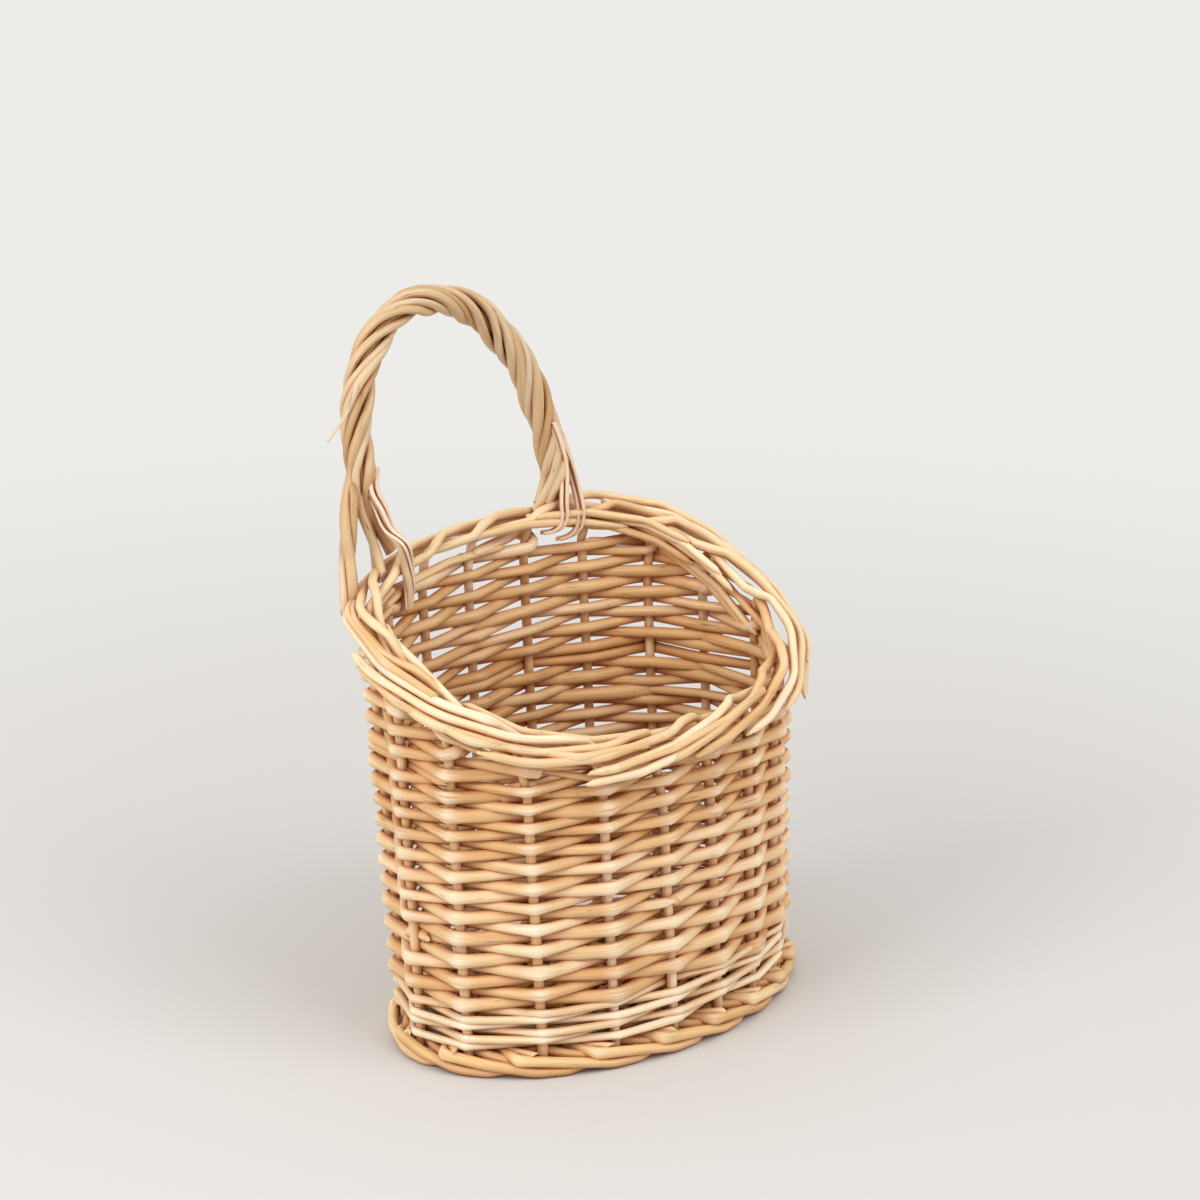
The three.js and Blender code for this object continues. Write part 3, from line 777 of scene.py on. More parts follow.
for i in range(STAKES):
    heights = np.arange(WALL_CORNERS_FROM, rim_height(stake_at(i)) - BELOW_BORDER, WALL_STEP)
    corners = [wall_point(stake_at(i), z, 0) for z in (STAKE_FOOT, WALL_START)]
    corners += [wall_point(stake_at(i), z, rng.normal(0, WALL_SCATTER)) for z in heights]
    bends = [WALL_BEND] * len(corners) + BORDER_BENDS
    stake = bent_rod(
        Rods(), corners + border_rod(i), bends, STAKE_BUTT, STAKE_TIP,
        sides=12, flatten=0.3, slant=(0.3, 1.2), whittled=9,
    )
    make_piece(stake, numbered("willow_stake", i), "stakes", numbered("stake", i))
print("stakes:", STAKES)

# %% [markdown]
# ### Loose ends of the border
#
# Inside the high back some rods of the border are cut off where they lie against the wall, and at the
# right-hand end and in front some tips stand off. None of them is a stake: they are the thin ends of
# rods laid in beside the stakes to fill the border, so they are drawn as one piece that lies on it.

# %% Border ends
BORDER_ENDS = [
    # where each lies, as (stake, outside, above) from its hidden end to its cut end
    [(4.2, -2.5, 2.0), (3.1, -5.2, 1.6), (2.2, -6.0, 0.4), (1.32, -6.4, -0.6)],
    [(3.0, -3.0, 3.2), (2.0, -6.0, 3.8), (1.0, -6.6, 3.6), (0.12, -6.8, 3.2)],
    [(2.4, -3.0, -0.5), (1.6, -5.6, -1.6), (0.8, -6.4, -3.0), (0.03, -6.8, -4.4)],
    [(1.9, -2.5, 2.0), (1.0, -5.5, 1.6), (0.2, -6.6, 1.2), (-0.57, -6.8, 0.8)],
    [(1.2, -2.5, 0.0), (0.5, -5.4, -0.4), (-0.2, -6.4, -0.8), (-0.82, -6.8, -1.4)],
    [(9.2, -1.0, 4.0), (8.2, -4.6, 5.0), (7.6, -5.4, 2.0), (6.94, -6.0, -3.0)],
    [(12.2, -1.5, 3.0), (11.0, -4.6, 4.6), (10.0, -5.4, 4.8), (9.16, -5.6, 4.4)],
    [(12.8, -1.0, 2.0), (11.8, -3.6, 3.6), (10.8, -4.6, 3.2), (9.82, -4.8, 2.2)],
    [
        (2.6, 3.0, 6.4), (1.7, 6.6, 7.6), (0.74, 9.2, 6.8), (0.01, 10.0, 3.4),
        (-0.88, 11.2, -1.2), (-1.8, 11.0, -7.0), (-2.6, 9.6, -13.0),
    ],
    [(12.9, 5.6, 0.4), (12.2, 8.4, -1.6), (11.4, 9.6, -4.6), (10.65, 9.2, -7.6)],
    [(11.6, 4.6, 3.6), (10.6, 6.6, 1.6), (9.4, 8.4, -1.2), (8.4, 9.4, -3.8), (7.6, 8.6, -6.0)],
    [(8.9, 3.2, 5.0), (8.0, 5.6, 3.4), (6.9, 8.0, 0.6), (5.9, 9.2, -1.6)],
    [(14.2, 3.6, 4.6), (13.2, 5.4, 3.0), (12.0, 7.6, 0.6), (11.0, 8.8, -2.2)],
    [(1.4, -2.4, -2.0), (0.5, -3.2, -5.2), (-0.4, -3.4, -8.4), (-1.25, -2.8, -12.5)],
    [(0.7, -2.2, -6.4), (-0.2, -3.0, -10.2), (-1.05, -2.6, -15.0)],
    [(6.2, -2.6, -6.4), (5.4, -3.4, -5.0), (4.5, -3.2, -4.6), (3.4, -2.6, -5.6)],
    [(9.4, -2.6, -4.6), (8.5, -3.4, -7.0), (7.6, -3.4, -9.0), (6.6, -2.6, -11.5)],
    [(8.6, -2.4, -9.4), (7.8, -3.0, -11.6), (6.9, -2.6, -14.5)],
    [(1.6, 3.0, 5.4), (0.6, 6.4, 4.6), (-0.4, 8.6, 2.0), (-1.4, 9.6, -2.0), (-2.2, 9.2, -5.0)],
]
END_BUTT, END_TIP, END_BEND = 1.75, 1.45, 14.0

ends = Rods()
for way in BORDER_ENDS:
    bent_rod(ends, border_way(*way), END_BEND, END_BUTT, END_TIP, full_kink=0.7, slant=(0.3, 1.4), whittled=5)
make_piece(ends, "willow_border_ends", "stakes")
print("border ends:", len(BORDER_ENDS))

# %% [markdown]
# ## Weaving
#
# A weaver passes each stake at a set distance from the stake line: half its own thickness and half the
# stake's. Between two stakes it runs straight, and it kinks at each stake that it passes outside. The
# heights of the rows follow the CAD model's: first the wale, then as many whole turns of siding as
# fit under the low front of the border.

# %% Heights of the rows
CLEARANCE, STAKE_RADIUS = 0.3, 1.7
WALE_RADIUS, WEAVER_RADIUS = 1.15, 1.8
WALE_START, WALE_FIRST_STAKE, WALE_RODS, WALE_TURNS, WALE_PITCH = 10.3, 7, 3, 5 / 3, 2.6
ROW_PITCH, RODS_PER_WEAVER, BORDER_DROP, SIDING_FRONT_STEPS = 4, 3, 3.4, 2
wale_steps = round(WALE_TURNS * STAKES)
lower_turn = WALE_RODS * (WALE_TURNS - 1) + WALE_RODS - 1
SIDING_START = WALE_START + WALE_PITCH * lower_turn + WALE_RADIUS + CLEARANCE + WEAVER_RADIUS
siding_first = WALE_FIRST_STAKE + wale_steps + 1
siding_turns = math.floor((rim_height(FRONT) - BORDER_DROP - SIDING_START) / ROW_PITCH) / 2
siding_top = SIDING_START + 2 * ROW_PITCH * siding_turns
print("siding turns:", siding_turns, "top at %.1f mm" % siding_top)

# %% [markdown]
# ### Laying rods end to end
#
# A willow rod is soon used up, so a weaver is many rods laid end to end. A maker starts and ends them
# where they don't show: inside the wall at the front and outside it at the back. Each new rod lies a
# little over the end of the last one. The maker also keeps the thickest rods for the lower wall.

# %% Laying rods
PRESSED = 0.9
ROD_STEPS, SHORTEST_REST = (22, 30), 8
START_OVERLAP, END_OVERLAP, START_LOWERED = 0.30, 0.35, np.array([0, 0, -0.8])
LOWER_WALL, LOWER_THICKER, THICKNESS_SPREAD = 70, 0.14, 0.065


def weave_point(index, z, side, radius):
    """Outside a stake the rod is pressed flat, so it lies closer than it does inside."""
    return wall_point(stake_at(index), z, side * (STAKE_RADIUS + radius * (PRESSED if side > 0 else 1.0)))


def lay_rods(rods, corners, sides, butt, tip, bend_radius):
    start, last = 0, len(corners) - 1
    while start < last:
        end = min(start + int(rng.integers(*ROD_STEPS)), last)
        while end < last and (sides[end] > 0) == (corners[end][1] < 0):
            end += 1
        if last - end < SHORTEST_REST:
            end = last
        points = [c.copy() for c in corners[start:end + 1]]
        if start > 0:
            points[0] += START_OVERLAP * (corners[start - 1] - corners[start]) + START_LOWERED
        if end < last:
            points[-1] += END_OVERLAP * (corners[end + 1] - corners[end])
        height = np.mean([c[2] for c in points]) - SIDING_START
        low = 1 - np.clip(height / LOWER_WALL, 0, 1)
        thick = (1 + LOWER_THICKER * low) * rng.normal(1, THICKNESS_SPREAD)
        bent_rod(
            rods, points, bend_radius, butt * thick, tip * thick,
            flatten=0.3, wobble=0.05, slant=(0.8, 1.2), whittled=5,
        )
        start = end


print("a rod passes %d to %d stakes" % ROD_STEPS)

# %% [markdown]
# ### Wale
#
# Just above the foot three fine pale rods are twined together: each passes in front of two stakes and
# behind one. This locks the stakes in place before the siding starts.

# %% Wale
WALE_BUTT, WALE_TIP, WALE_BEND = 1.6, 1.45, 1.6

for k in range(WALE_RODS):
    corners = []
    for j in range(wale_steps + 1):
        z = WALE_START + WALE_PITCH * (k + WALE_RODS * j / STAKES) + rng.normal(0, WALL_SCATTER)
        side = -1 if (j - k) % WALE_RODS == 0 else 1
        corners.append(weave_point(WALE_FIRST_STAKE + j, z, side, WALE_RADIUS))
    wale = bent_rod(Rods(), corners, WALE_BEND, WALE_BUTT, WALE_TIP, full_kink=0.5, sides=8)
    make_piece(wale, numbered("willow_wale", k), "wale", numbered("wale_rod", k))
print("wale rods:", WALE_RODS)

# %% [markdown]
# ### Siding
#
# The stakes are even in number, so one weaver would pass every stake on the same side in each row. Two
# sets of weavers, a and b, chase each other instead, half a turn apart. A weaver's thin end goes on for
# some stakes before b's first row, and past a's last one, and closes the wedge that is left there.

# %% Siding
WEAVER_BUTT, WEAVER_TIP, WEAVER_LAID, WEAVER_BEND = 2.3, 2.0, 2.0, 1.5
ROW_SPREAD, ROW_SCATTER, TIP_STEPS = 9, 0.2, 7


def settled(z):
    """The lower rows are thicker rods than the upper ones, so they lie a little further apart."""
    share = np.clip((z - SIDING_START) / (siding_top - SIDING_START), 0, 1)
    return z + ROW_SPREAD * share * (1 - share)


def siding_height(which, step):
    return settled(SIDING_START + ROW_PITCH * (which + 2 * step / STAKES))


for which, letter in enumerate("ab"):
    total = round((siding_turns - which / 2) * STAKES) + which * SIDING_FRONT_STEPS
    per_rod = math.ceil(total / RODS_PER_WEAVER)
    for rod in range(RODS_PER_WEAVER):
        first, last = rod * per_rod, min((rod + 1) * per_rod, total)
        if which == 1 and rod == 0:
            first -= TIP_STEPS
        sides = [1 if (step + which) % 2 else -1 for step in range(first, last + 1)]
        heights = [
            siding_height(which, step) + rng.normal(0, ROW_SCATTER) for step in range(first, last + 1)
        ]
        if which == 0 and last == total:
            # Half-way between set b below it and the first level row above it.
            for step in range(total + 1, total + TIP_STEPS + 1):
                sides.append(1 if step % 2 else -1)
                heights.append((siding_height(1, step - STAKES) + siding_top + ROW_PITCH) / 2)
        corners = [
            weave_point(siding_first + first + i, z, side, WEAVER_LAID)
            for i, (z, side) in enumerate(zip(heights, sides))
        ]
        weaver = Rods()
        lay_rods(weaver, corners, sides, WEAVER_BUTT, WEAVER_TIP, WEAVER_BEND)
        name = "siding_%s_%d" % (letter, rod + 1)
        make_piece(weaver, "willow_" + name, "weavers", name)
print("siding rods:", 2 * RODS_PER_WEAVER)

# %% [markdown]
# ### Packing
#
# The rim slants, so rows that go right round can only reach the low front. Behind them one weaver goes
# to and fro, turning round the last stake that there is room for, and builds the back up to the rim.

# %% Packing
back_stake = round(BACK * STAKES - FIRST_STAKE)
back_limit = rim_height(BACK) - BORDER_DROP
rows = math.floor((back_limit - siding_top) / ROW_PITCH)
TURN_RADIUS = STAKE_RADIUS + WEAVER_RADIUS + 3 * CLEARANCE


def last_stake(z, direction):
    index = back_stake
    while rim_height(stake_at(index + direction)) - BORDER_DROP >= z:
        index += direction
    return index


corners, sides = [], []
index, side = last_stake(siding_top + ROW_PITCH, -1), 1
for row in range(1, rows + 1):
    z = siding_top + ROW_PITCH * row
    direction = 1 if row % 2 else -1
    end = last_stake(min(z + ROW_PITCH, back_limit), direction)
    while index != end + direction:
        corners.append(weave_point(index, z + rng.normal(0, ROW_SCATTER), side, WEAVER_LAID))
        sides.append(side)
        side = -side
        index += direction
    index = end
    if row < rows:
        # Two corners lead it round the last stake, a third of the half-turn apart.
        for third in (1, 2):
            angle = math.pi * third / 3
            beyond = direction * TURN_RADIUS * math.sin(angle) / STAKE_GAP
            r = -side * TURN_RADIUS * math.cos(angle)
            corners.append(wall_point(stake_at(end + beyond), z + ROW_PITCH * third / 3, r))
            sides.append(1)
packing = Rods()
lay_rods(packing, corners, sides, WEAVER_BUTT, WEAVER_TIP, WEAVER_BEND)
make_piece(packing, "willow_packing", "weavers", "packing_weaver")
print("packing rows:", rows)

# %% [markdown]
# ### Rim weavers
#
# The level rows end in steps under the slanting border. Finer rods woven along the slant close the gap.
# Each runs beside the one above it on the other side of every stake. They start and end inside the wall.

# %% Rim weavers
RIM_FIRST, RIM_STEPS, RIM_BEND, RIM_THINNER = 5, 15, 1.8, 0.1
# (millimetres below the top of the stakes, radius, side at the first stake)
RIM_ROWS = [(1.9, 1.6, 1), (5.3, 1.7, -1), (8.2, 1.6, 1)]

rim_weaver = Rods()
for drop, radius, first_side in RIM_ROWS:
    corners, sides = [], []
    for step in range(RIM_STEPS + 1):
        index = RIM_FIRST + step
        side = first_side * (-1 if step % 2 else 1)
        if step in (0, RIM_STEPS) and side > 0:
            continue
        z = rim_height(stake_at(index)) - drop + rng.normal(0, ROW_SCATTER)
        corners.append(weave_point(index, z, side, radius))
        sides.append(side)
    lay_rods(rim_weaver, corners, sides, radius, radius - RIM_THINNER, RIM_BEND)
make_piece(rim_weaver, "willow_rim_weaver", "weavers", "rim_weaver")
print("rim weavers:", len(RIM_ROWS))

# %% [markdown]
# ## Foot border
#
# The basket stands on a border of thick yellowish rods. Each comes out beside a stake, turns sharply,
# lies along the outside past the next stake and runs underneath. They are worn flat where they stand.
# Behind each one, two shorter rods cross between it and the wall, and a cut end shows above it.

# %% Foot rods
# (gaps to the right of the stake, millimetres outside, above the ground)
FOOT_STEPS = [
    (0.42, -7, 7.4), (0.66, 4.6, 7.4), (0.72, 5.0, 7.3), (1.3, 4.9, 5.4), (1.9, 4.7, 2.3),
    (2.3, 3.8, 1.9), (2.7, 0.8, 3.2),
]
FOOT_BENDS, FOOT_BUTT, FOOT_TIP, FOOT_RING_STEP = [1.8, 3, 20, 20, 8], 2.3, 1.7, 1.6
INNER_ROD = [(-0.05, -3.0, 8.8), (0.3, -0.4, 6.9), (0.72, 1.6, 4.4)]
CROSSED_ROD = [(0.2, 1.2, 3.8), (0.55, -0.6, 6.0), (0.98, -3.2, 9.0)]
CUT_END = [(-0.42, -2.0, 8.7), (-0.13, 3.9, 8.9)]
SHORT_RODS = [(INNER_ROD, 1.9, 0.95), (CROSSED_ROD, 1.8, 0.9)]  # way, radius, tone
SHORT_BEND, CUT_BUTT, CUT_TIP, CUT_RINGS = 4.0, 1.5, 1.45, 8
GROUND = 0.0


def foot_way(steps, index):
    return [wall_point(stake_at(index + gaps), z, r) for gaps, r, z in steps]


for i in range(STAKES):
    foot = Rods()
    bent_rod(
        foot, foot_way(FOOT_STEPS, i), FOOT_BENDS, FOOT_BUTT, FOOT_TIP, FOOT_RING_STEP,
        full_kink=1.2, sides=12, flatten=0.32, worn=GROUND,
    )
    for steps, radius, tone in SHORT_RODS:
        bent_rod(foot, foot_way(steps, i), SHORT_BEND, radius, radius, tone=tone)
    cut_end = np.linspace(*foot_way(CUT_END, i), CUT_RINGS)
    sweep(foot, cut_end, CUT_BUTT, CUT_TIP, slant=(0.3, 1.3), tone=0.1)
    make_piece(foot, numbered("willow_foot", i), "foot_border", numbered("foot_rod", i))
print("foot rods:", STAKES)

# %% [markdown]
# ## Base
#
# The bottom is an oval mat. First come long and short sticks, crossed in one plane. They are straight,
# and each reaches as far as the oval lets it.

# %% Base sticks
BASE_UNDERSIDE, BASE_THICKNESS, BASE_STICK_RADIUS = 9.7, 6, 1.7
LONG_STICKS, SHORT_STICKS, LONG_SPACING, SHORT_SPACING = 3, 7, 6, 15
STICK_GAP, LONG_RINGS, SHORT_RINGS = 1, 60, 40
MAT_EDGE = STAKE_RADIUS + 2 * WALE_RADIUS + 5 * CLEARANCE
half_width, half_depth = FOOT_WIDTH / 2 - MAT_EDGE, FOOT_DEPTH / 2 - MAT_EDGE
mat_middle = BASE_UNDERSIDE + BASE_THICKNESS / 2
long_at = [(i - (LONG_STICKS - 1) / 2) * LONG_SPACING for i in range(LONG_STICKS)]
short_at = [(i - (SHORT_STICKS - 1) / 2) * SHORT_SPACING for i in range(SHORT_STICKS)]

sticks = Rods()
for y in long_at:
    reach = half_width * math.sqrt(1 - (y / half_depth) ** 2) - STICK_GAP
    stick = np.linspace((-reach, y, mat_middle), (reach, y, mat_middle), LONG_RINGS)
    sweep(sticks, stick, BASE_STICK_RADIUS)
for x in short_at:
    reach = half_depth * math.sqrt(1 - (x / half_width) ** 2) - STICK_GAP
    stick = np.linspace((x, -reach, mat_middle), (x, reach, mat_middle), SHORT_RINGS)
    sweep(sticks, stick, BASE_STICK_RADIUS)
make_piece(sticks, "willow_base_sticks", "base", "base_sticks")
print("base sticks:", LONG_STICKS, "long and", SHORT_STICKS, "short")

# %% [markdown]
# ### The mat
#
# Fine rods are woven round the sticks in ovals, over one stick and under the next, and in the next oval
# the other way. The places where an oval crosses the sticks are worked out, and its height swings from
# one to the next. Two straight rods fill the middle.

# %% Base mat
MAT_ROD, MAT_PITCH, MAT_CORE, MAT_RINGS, CORE_RINGS = 1.15, 2.55, 8, 181, 90
SWING, CORE_SWING, CORE_SHARE, CORE_SIDE = 2.1, 2.0, 0.62, 3.0


def stick_crossings(a, b):
    """Angles at which an ellipse with the half-axes a and b crosses the sticks."""
    crossings = []
    for y in long_at:
        if abs(y) < b:
            t = math.asin(y / b)
            crossings += [t, math.pi - t]
    for x in short_at:
        if abs(x) < a:
            t = math.acos(x / a)
            crossings += [t, -t]
    return np.sort(np.mod(crossings, 2 * np.pi))


mat = Rods()
for row in range(int((half_depth - MAT_CORE) / MAT_PITCH)):
    a, b = half_width - MAT_ROD - row * MAT_PITCH, half_depth - MAT_ROD - row * MAT_PITCH
    crossings = stick_crossings(a, b)
    signs = np.where(np.arange(len(crossings)) % 2, 1.0, -1.0) * (1 if row % 2 else -1)
    t = np.linspace(0, 2 * np.pi, MAT_RINGS) + crossings[0]
    height = np.interp(t, np.append(crossings, crossings[0] + 2 * np.pi), np.append(signs, signs[0]))
    height = mat_middle + np.sin(height * np.pi / 2) * SWING
    sweep(mat, np.stack([a * np.cos(t), b * np.sin(t), height], axis=1), MAT_ROD, sides=8)
for y in (-CORE_SIDE, CORE_SIDE):
    x = np.linspace(-half_width * CORE_SHARE, half_width * CORE_SHARE, CORE_RINGS)
    height = mat_middle + CORE_SWING * np.cos(np.pi * x / SHORT_SPACING) * np.sign(y)
    sweep(mat, np.stack([x, np.full_like(x, y), height], axis=1), MAT_ROD, sides=8)
make_piece(mat, "willow_base_mat", "base", "base_mat")
print("base mat:", half_width * 2, "x", half_depth * 2, "mm")

# %% [markdown]
# ## Handle
#
# A bow of willow is bent over the high back. It leans back a little, and its ends stand in the border.
# Its places are read off as shares of its width and height, and a smooth curve goes through them. A
# Bezier curve would need a handle set by hand at each place. A centripetal Catmull-Rom curve needs none
# and doesn't overshoot where the places are unevenly spaced.

# %% A smooth curve through places
STEPS_BETWEEN = 60


def between(s, start, end, a, b):
    return (end - s) / (end - start) * a + (s - start) / (end - start) * b


def dense_curve(places):
    """Close points on the curve, and the length up to each."""
    p = np.array([2 * places[0] - places[1], *places, 2 * places[-1] - places[-2]])
    stretches = []
    for i in range(1, len(p) - 2):
        gaps = np.linalg.norm(np.diff(p[i - 1:i + 3], axis=0), axis=1)
        t = np.concatenate([[0], np.cumsum(np.sqrt(gaps))])
        s = np.linspace(t[1], t[2], STEPS_BETWEEN, endpoint=i == len(p) - 3)[:, None]
        a = [between(s, t[k], t[k + 1], p[i - 1 + k], p[i + k]) for k in range(3)]
        b = [between(s, t[k], t[k + 2], a[k], a[k + 1]) for k in range(2)]
        stretches.append(between(s, t[1], t[2], b[0], b[1]))
    dense = np.concatenate(stretches)
    return dense, lengths_along(dense)


def smooth_curve(places, count):
    """The curve in count even steps."""
    dense, run = dense_curve(places)
    return read_off(np.linspace(0, run[-1], count), run, dense)


arch = [np.array(place, float) for place in ((0, 0, 0), (10, 0, 10), (20, 0, 0))]
print("a curve over an arch 20 mm wide is %.1f mm long" % dense_curve(arch)[1][-1])

# %% [markdown]
# ### The bow
#
# The handle has a plane of its own, which leans back from the border. A place in it is given by how far
# across and up it lies, and how far behind the plane.

# %% The handle's bow
HANDLE_LEAN, HANDLE_RISE, HANDLE_HALF_WIDTH = math.radians(11), 93, 52
HANDLE_RIGHT_STAKE, HANDLE_LEFT_STAKE = 2.16, 5.64
BOW_LEFT_END, BOW_RIGHT_END, BOW_POINTS = 8.3, 8, 400
BOW_SHAPE = [
    (-1, 0.28), (-1.04, 0.45), (-1.03, 0.61), (-0.93, 0.78), (-0.71, 0.94),
    (-0.38, 1.025), (-0.06, 1.02), (0.27, 0.94), (0.65, 0.69), (0.85, 0.34),
]
right_foot, left_foot = (rim_line(np.array(even_stake(i))) for i in (HANDLE_RIGHT_STAKE, HANDLE_LEFT_STAKE))
handle_middle = (right_foot + left_foot) / 2
handle_up = np.array([0, math.sin(HANDLE_LEAN), math.cos(HANDLE_LEAN)])
handle_back = np.array([0, math.cos(HANDLE_LEAN), -math.sin(HANDLE_LEAN)])
foot_reach = (right_foot[0] - left_foot[0]) / 2


def handle_point(across, up, behind=0.0):
    return handle_middle + np.array([across, 0, 0]) + handle_up * up + handle_back * behind


def handle_way(*places):
    return [handle_point(*place) for place in places]


bow_places = [handle_point(-foot_reach, BOW_LEFT_END)]
bow_places += [handle_point(x * HANDLE_HALF_WIDTH, rise * HANDLE_RISE) for x, rise in BOW_SHAPE]
bow_places.append(handle_point(foot_reach, BOW_RIGHT_END))
bow = smooth_curve(bow_places, BOW_POINTS)
bow_length = dense_curve(bow_places)[1][-1]
bow_tangent = unit(np.gradient(bow, axis=0))
print("bow length: %.1f mm" % bow_length)

# %% [markdown]
# ### The rope
#
# The CAD model has five even rods. In the real handle about seven of unequal thickness share that
# space, and none keeps its place: each wanders a little, so no two furrows are alike. A strand is a
# helix round the bow, and the wandering is a slow wave on its angle and on its distance.

# %% Strands in the rope
STRAND_RADII = np.array([2.25, 1.7, 2.0, 1.6, 2.3, 1.75, 1.95])
HANDLE_RODS, ROPE_RADIUS, ROPE_LAY, MEAN_RADIUS = 5, 4.3, 64, 1.9
SIDEWAYS, SIDEWAYS_WAVE, IN_AND_OUT, IN_AND_OUT_WAVE = 0.22, 17, 0.45, 13
strand_places = (np.cumsum(STRAND_RADII) - STRAND_RADII / 2) / STRAND_RADII.sum()
# Two of the four columns are used. The others are drawn to keep all later draws as they are.
wander = rng.uniform(0, 2 * np.pi, (len(STRAND_RADII), 4))


def strand_angle(share, k):
    length = share * bow_length
    wandering = SIDEWAYS * np.sin(length / SIDEWAYS_WAVE + wander[k, 0])
    return 2 * np.pi * (length / ROPE_LAY + strand_places[k]) + wandering


def strand_path(k, start, end):
    """Points of strand k between two shares of the bow. A thicker strand lies further in."""
    share = np.linspace(start, end, max(2, round((end - start) * bow_length / RING_STEP)))
    angle = strand_angle(share, k)
    in_and_out = IN_AND_OUT * np.sin(share * bow_length / IN_AND_OUT_WAVE + wander[k, 1])
    offset = ROPE_RADIUS + 0.5 * (MEAN_RADIUS - STRAND_RADII[k]) + in_and_out
    place, steps = share * (BOW_POINTS - 1), np.arange(BOW_POINTS)
    in_plane = unit(np.cross(read_off(place, steps, bow_tangent), handle_back))
    behind, beside = (offset * np.cos(angle))[..., None], (offset * np.sin(angle))[..., None]
    return read_off(place, steps, bow) + handle_back * behind + in_plane * beside


print("strands:", len(STRAND_RADII), "lay %d mm" % ROPE_LAY)

# %% [markdown]
# ### Where the rope opens
#
# Near the left foot the rope opens. Three strands keep outside, two come down in the middle, and the
# last two, fine and pinkish, slip in over the border. Which strand goes where follows from where it
# lies when it leaves. In each group the strands are wound loosely round each other.

# %% Ways at the left foot
outer_way = [
    *handle_way((-60.0, 34), (-63.2, 26), (-65.6, 18), (-67.2, 10)),
    np.array([-71.0, 57.3, 165.5]), np.array([-72.4, 56.4, 158]),
]
middle_way = [*handle_way((-56.0, 29), (-54.8, 20), (-53.0, 11)), border_place(6.05, 0.8, 3)]
inner_way = [
    *handle_way((-52.4, 33, -3), (-51.4, 26, -4.5), (-50.0, 18, -5.5)),
    np.array([-48.4, 51.4, 181]), np.array([-45.6, 52.0, 171]), np.array([-45.6, 51.6, 163]),
    np.array([-47.4, 50.4, 155.5]),
]
inner_start = handle_point(-50.4, 41, -2.5)
# The strands are roped from 34 mm after the bow's left end to 8 mm before its right end.
ROPED_FROM, ROPED_TO = 34, 8
left_leave, right_leave = ROPED_FROM / bow_length, 1 - ROPED_TO / bow_length


def wound(points, share, spread, turns):
    """One strand's own way in a group that is wound loosely round the way given by points."""
    angle = 2 * np.pi * (share + turns * np.arange(len(points)) / (len(points) - 1))
    around = np.cos(angle)[:, None] * np.array([1.0, 0, 0]) + np.sin(angle)[:, None] * handle_back
    return [*(np.array(points) + spread * around)]


order = np.argsort([-math.sin(strand_angle(left_leave, k)) for k in range(len(STRAND_RADII))])
GROUPS = [  # way, strands, how far apart in mm, turns
    (outer_way, order[:3], 1.9, 0.6), (middle_way, order[3:5], 1.5, 0.25), (inner_way, order[5:], 1.3, 0.8),
]
foot_ways = {}
for way, strands, spread, turns in GROUPS:
    for place, k in enumerate(strands):
        foot_ways[k] = wound(way, place / len(strands), spread, turns)
print("strands from outside to inside:", order)

# %% [markdown]
# ### The strands
#
# Each strand is one rod: up its way at the left foot, along the rope, and down behind the border at the
# right. The seven are shared out over the five CAD nodes. One loose tip stands off on the left.

# %% Handle strands
STRAND_POINTS, TIP_POINTS, BOW_RADIUS = 190, 40, 2.5
LAST_STAKE, LAST_SPREAD, LAST_OUT, LAST_UP = HANDLE_RIGHT_STAKE + 0.34, 5.5, 0.8, 5.6
END_SCATTER, INNER_THIN, OTHERS_THIN = 0.012, 0.6, 0.85
LOOSE_TIP = handle_way((-49, 76, -1), (-55.5, 71, -5), (-61, 66.5, -7), (-67, 62, -7.5), (-74.5, 56.5, -7))
inner_strands = order[5:]

strand_pieces = [Rods() for _ in range(HANDLE_RODS)]
for k, radius in enumerate(STRAND_RADII):
    end = right_leave - rng.uniform(0, END_SCATTER)
    roped = strand_path(k, left_leave, end)
    beside = LAST_SPREAD * math.sin(strand_angle(end, k)) / STAKE_GAP
    last = border_place(LAST_STAKE - beside, LAST_OUT, LAST_UP)
    way = smooth_curve([*foot_ways[k][::-1], *roped[:-1:3], roped[-1], last], STRAND_POINTS)
    thin, tone = (INNER_THIN, rng.uniform(0, 0.12)) if k in inner_strands else (OTHERS_THIN, None)
    sweep(
        strand_pieces[k % HANDLE_RODS], way, radius * thin, radius,
        sides=12, wobble=0.06, slant=(1.2, 1.2), tone=tone,
    )
sweep(strand_pieces[0], smooth_curve(LOOSE_TIP, TIP_POINTS), 1.1, 0.4, tone=0.1)
for k, rods in enumerate(strand_pieces):
    make_piece(rods, numbered("willow_handle_rod", k), "handle", numbered("handle_rod", k))
make_piece(sweep(Rods(), bow[::4], BOW_RADIUS), "willow_handle_bow", "handle", "handle_bow")
print("handle pieces:", HANDLE_RODS + 1)

# %% [markdown]
# ### Ties
#
# Fine pale rods come out of the rope at each foot. On the right they make two loops down over the
# border and go back under it. On the left they are frayed and hang inside with the inner strands.

# %% Ties on the right
RIGHT_LOOPS = [
    handle_way((42.5, 38, -5.5), (44.2, 29, -5.8), (45.2, 20, -5.2)) + border_way(
        (2.40, -5.8, 7), (2.42, -6.6, 3), (2.48, -6.9, -0.4), (2.6, -6.4, -2.4), (2.76, -5.0, -3)
    ),
    handle_way((45.4, 32, -4.5), (48.2, 23, -5), (49.8, 14, -5)) + border_way(
        (2.12, -6.0, 5.8), (2.14, -6.8, 1.6), (2.2, -7.0, -2.4), (2.32, -6.6, -5), (2.48, -5.2, -6.4)
    ),
]
RODS_PER_TIE, TIE_BUTT, TIE_THINNER, TIE_TIP = 3, 1.05, 0.1, 0.75
LOOP_SPREAD, LOOP_TURNS, LOOP_RINGS = 1.2, 0.3, 90

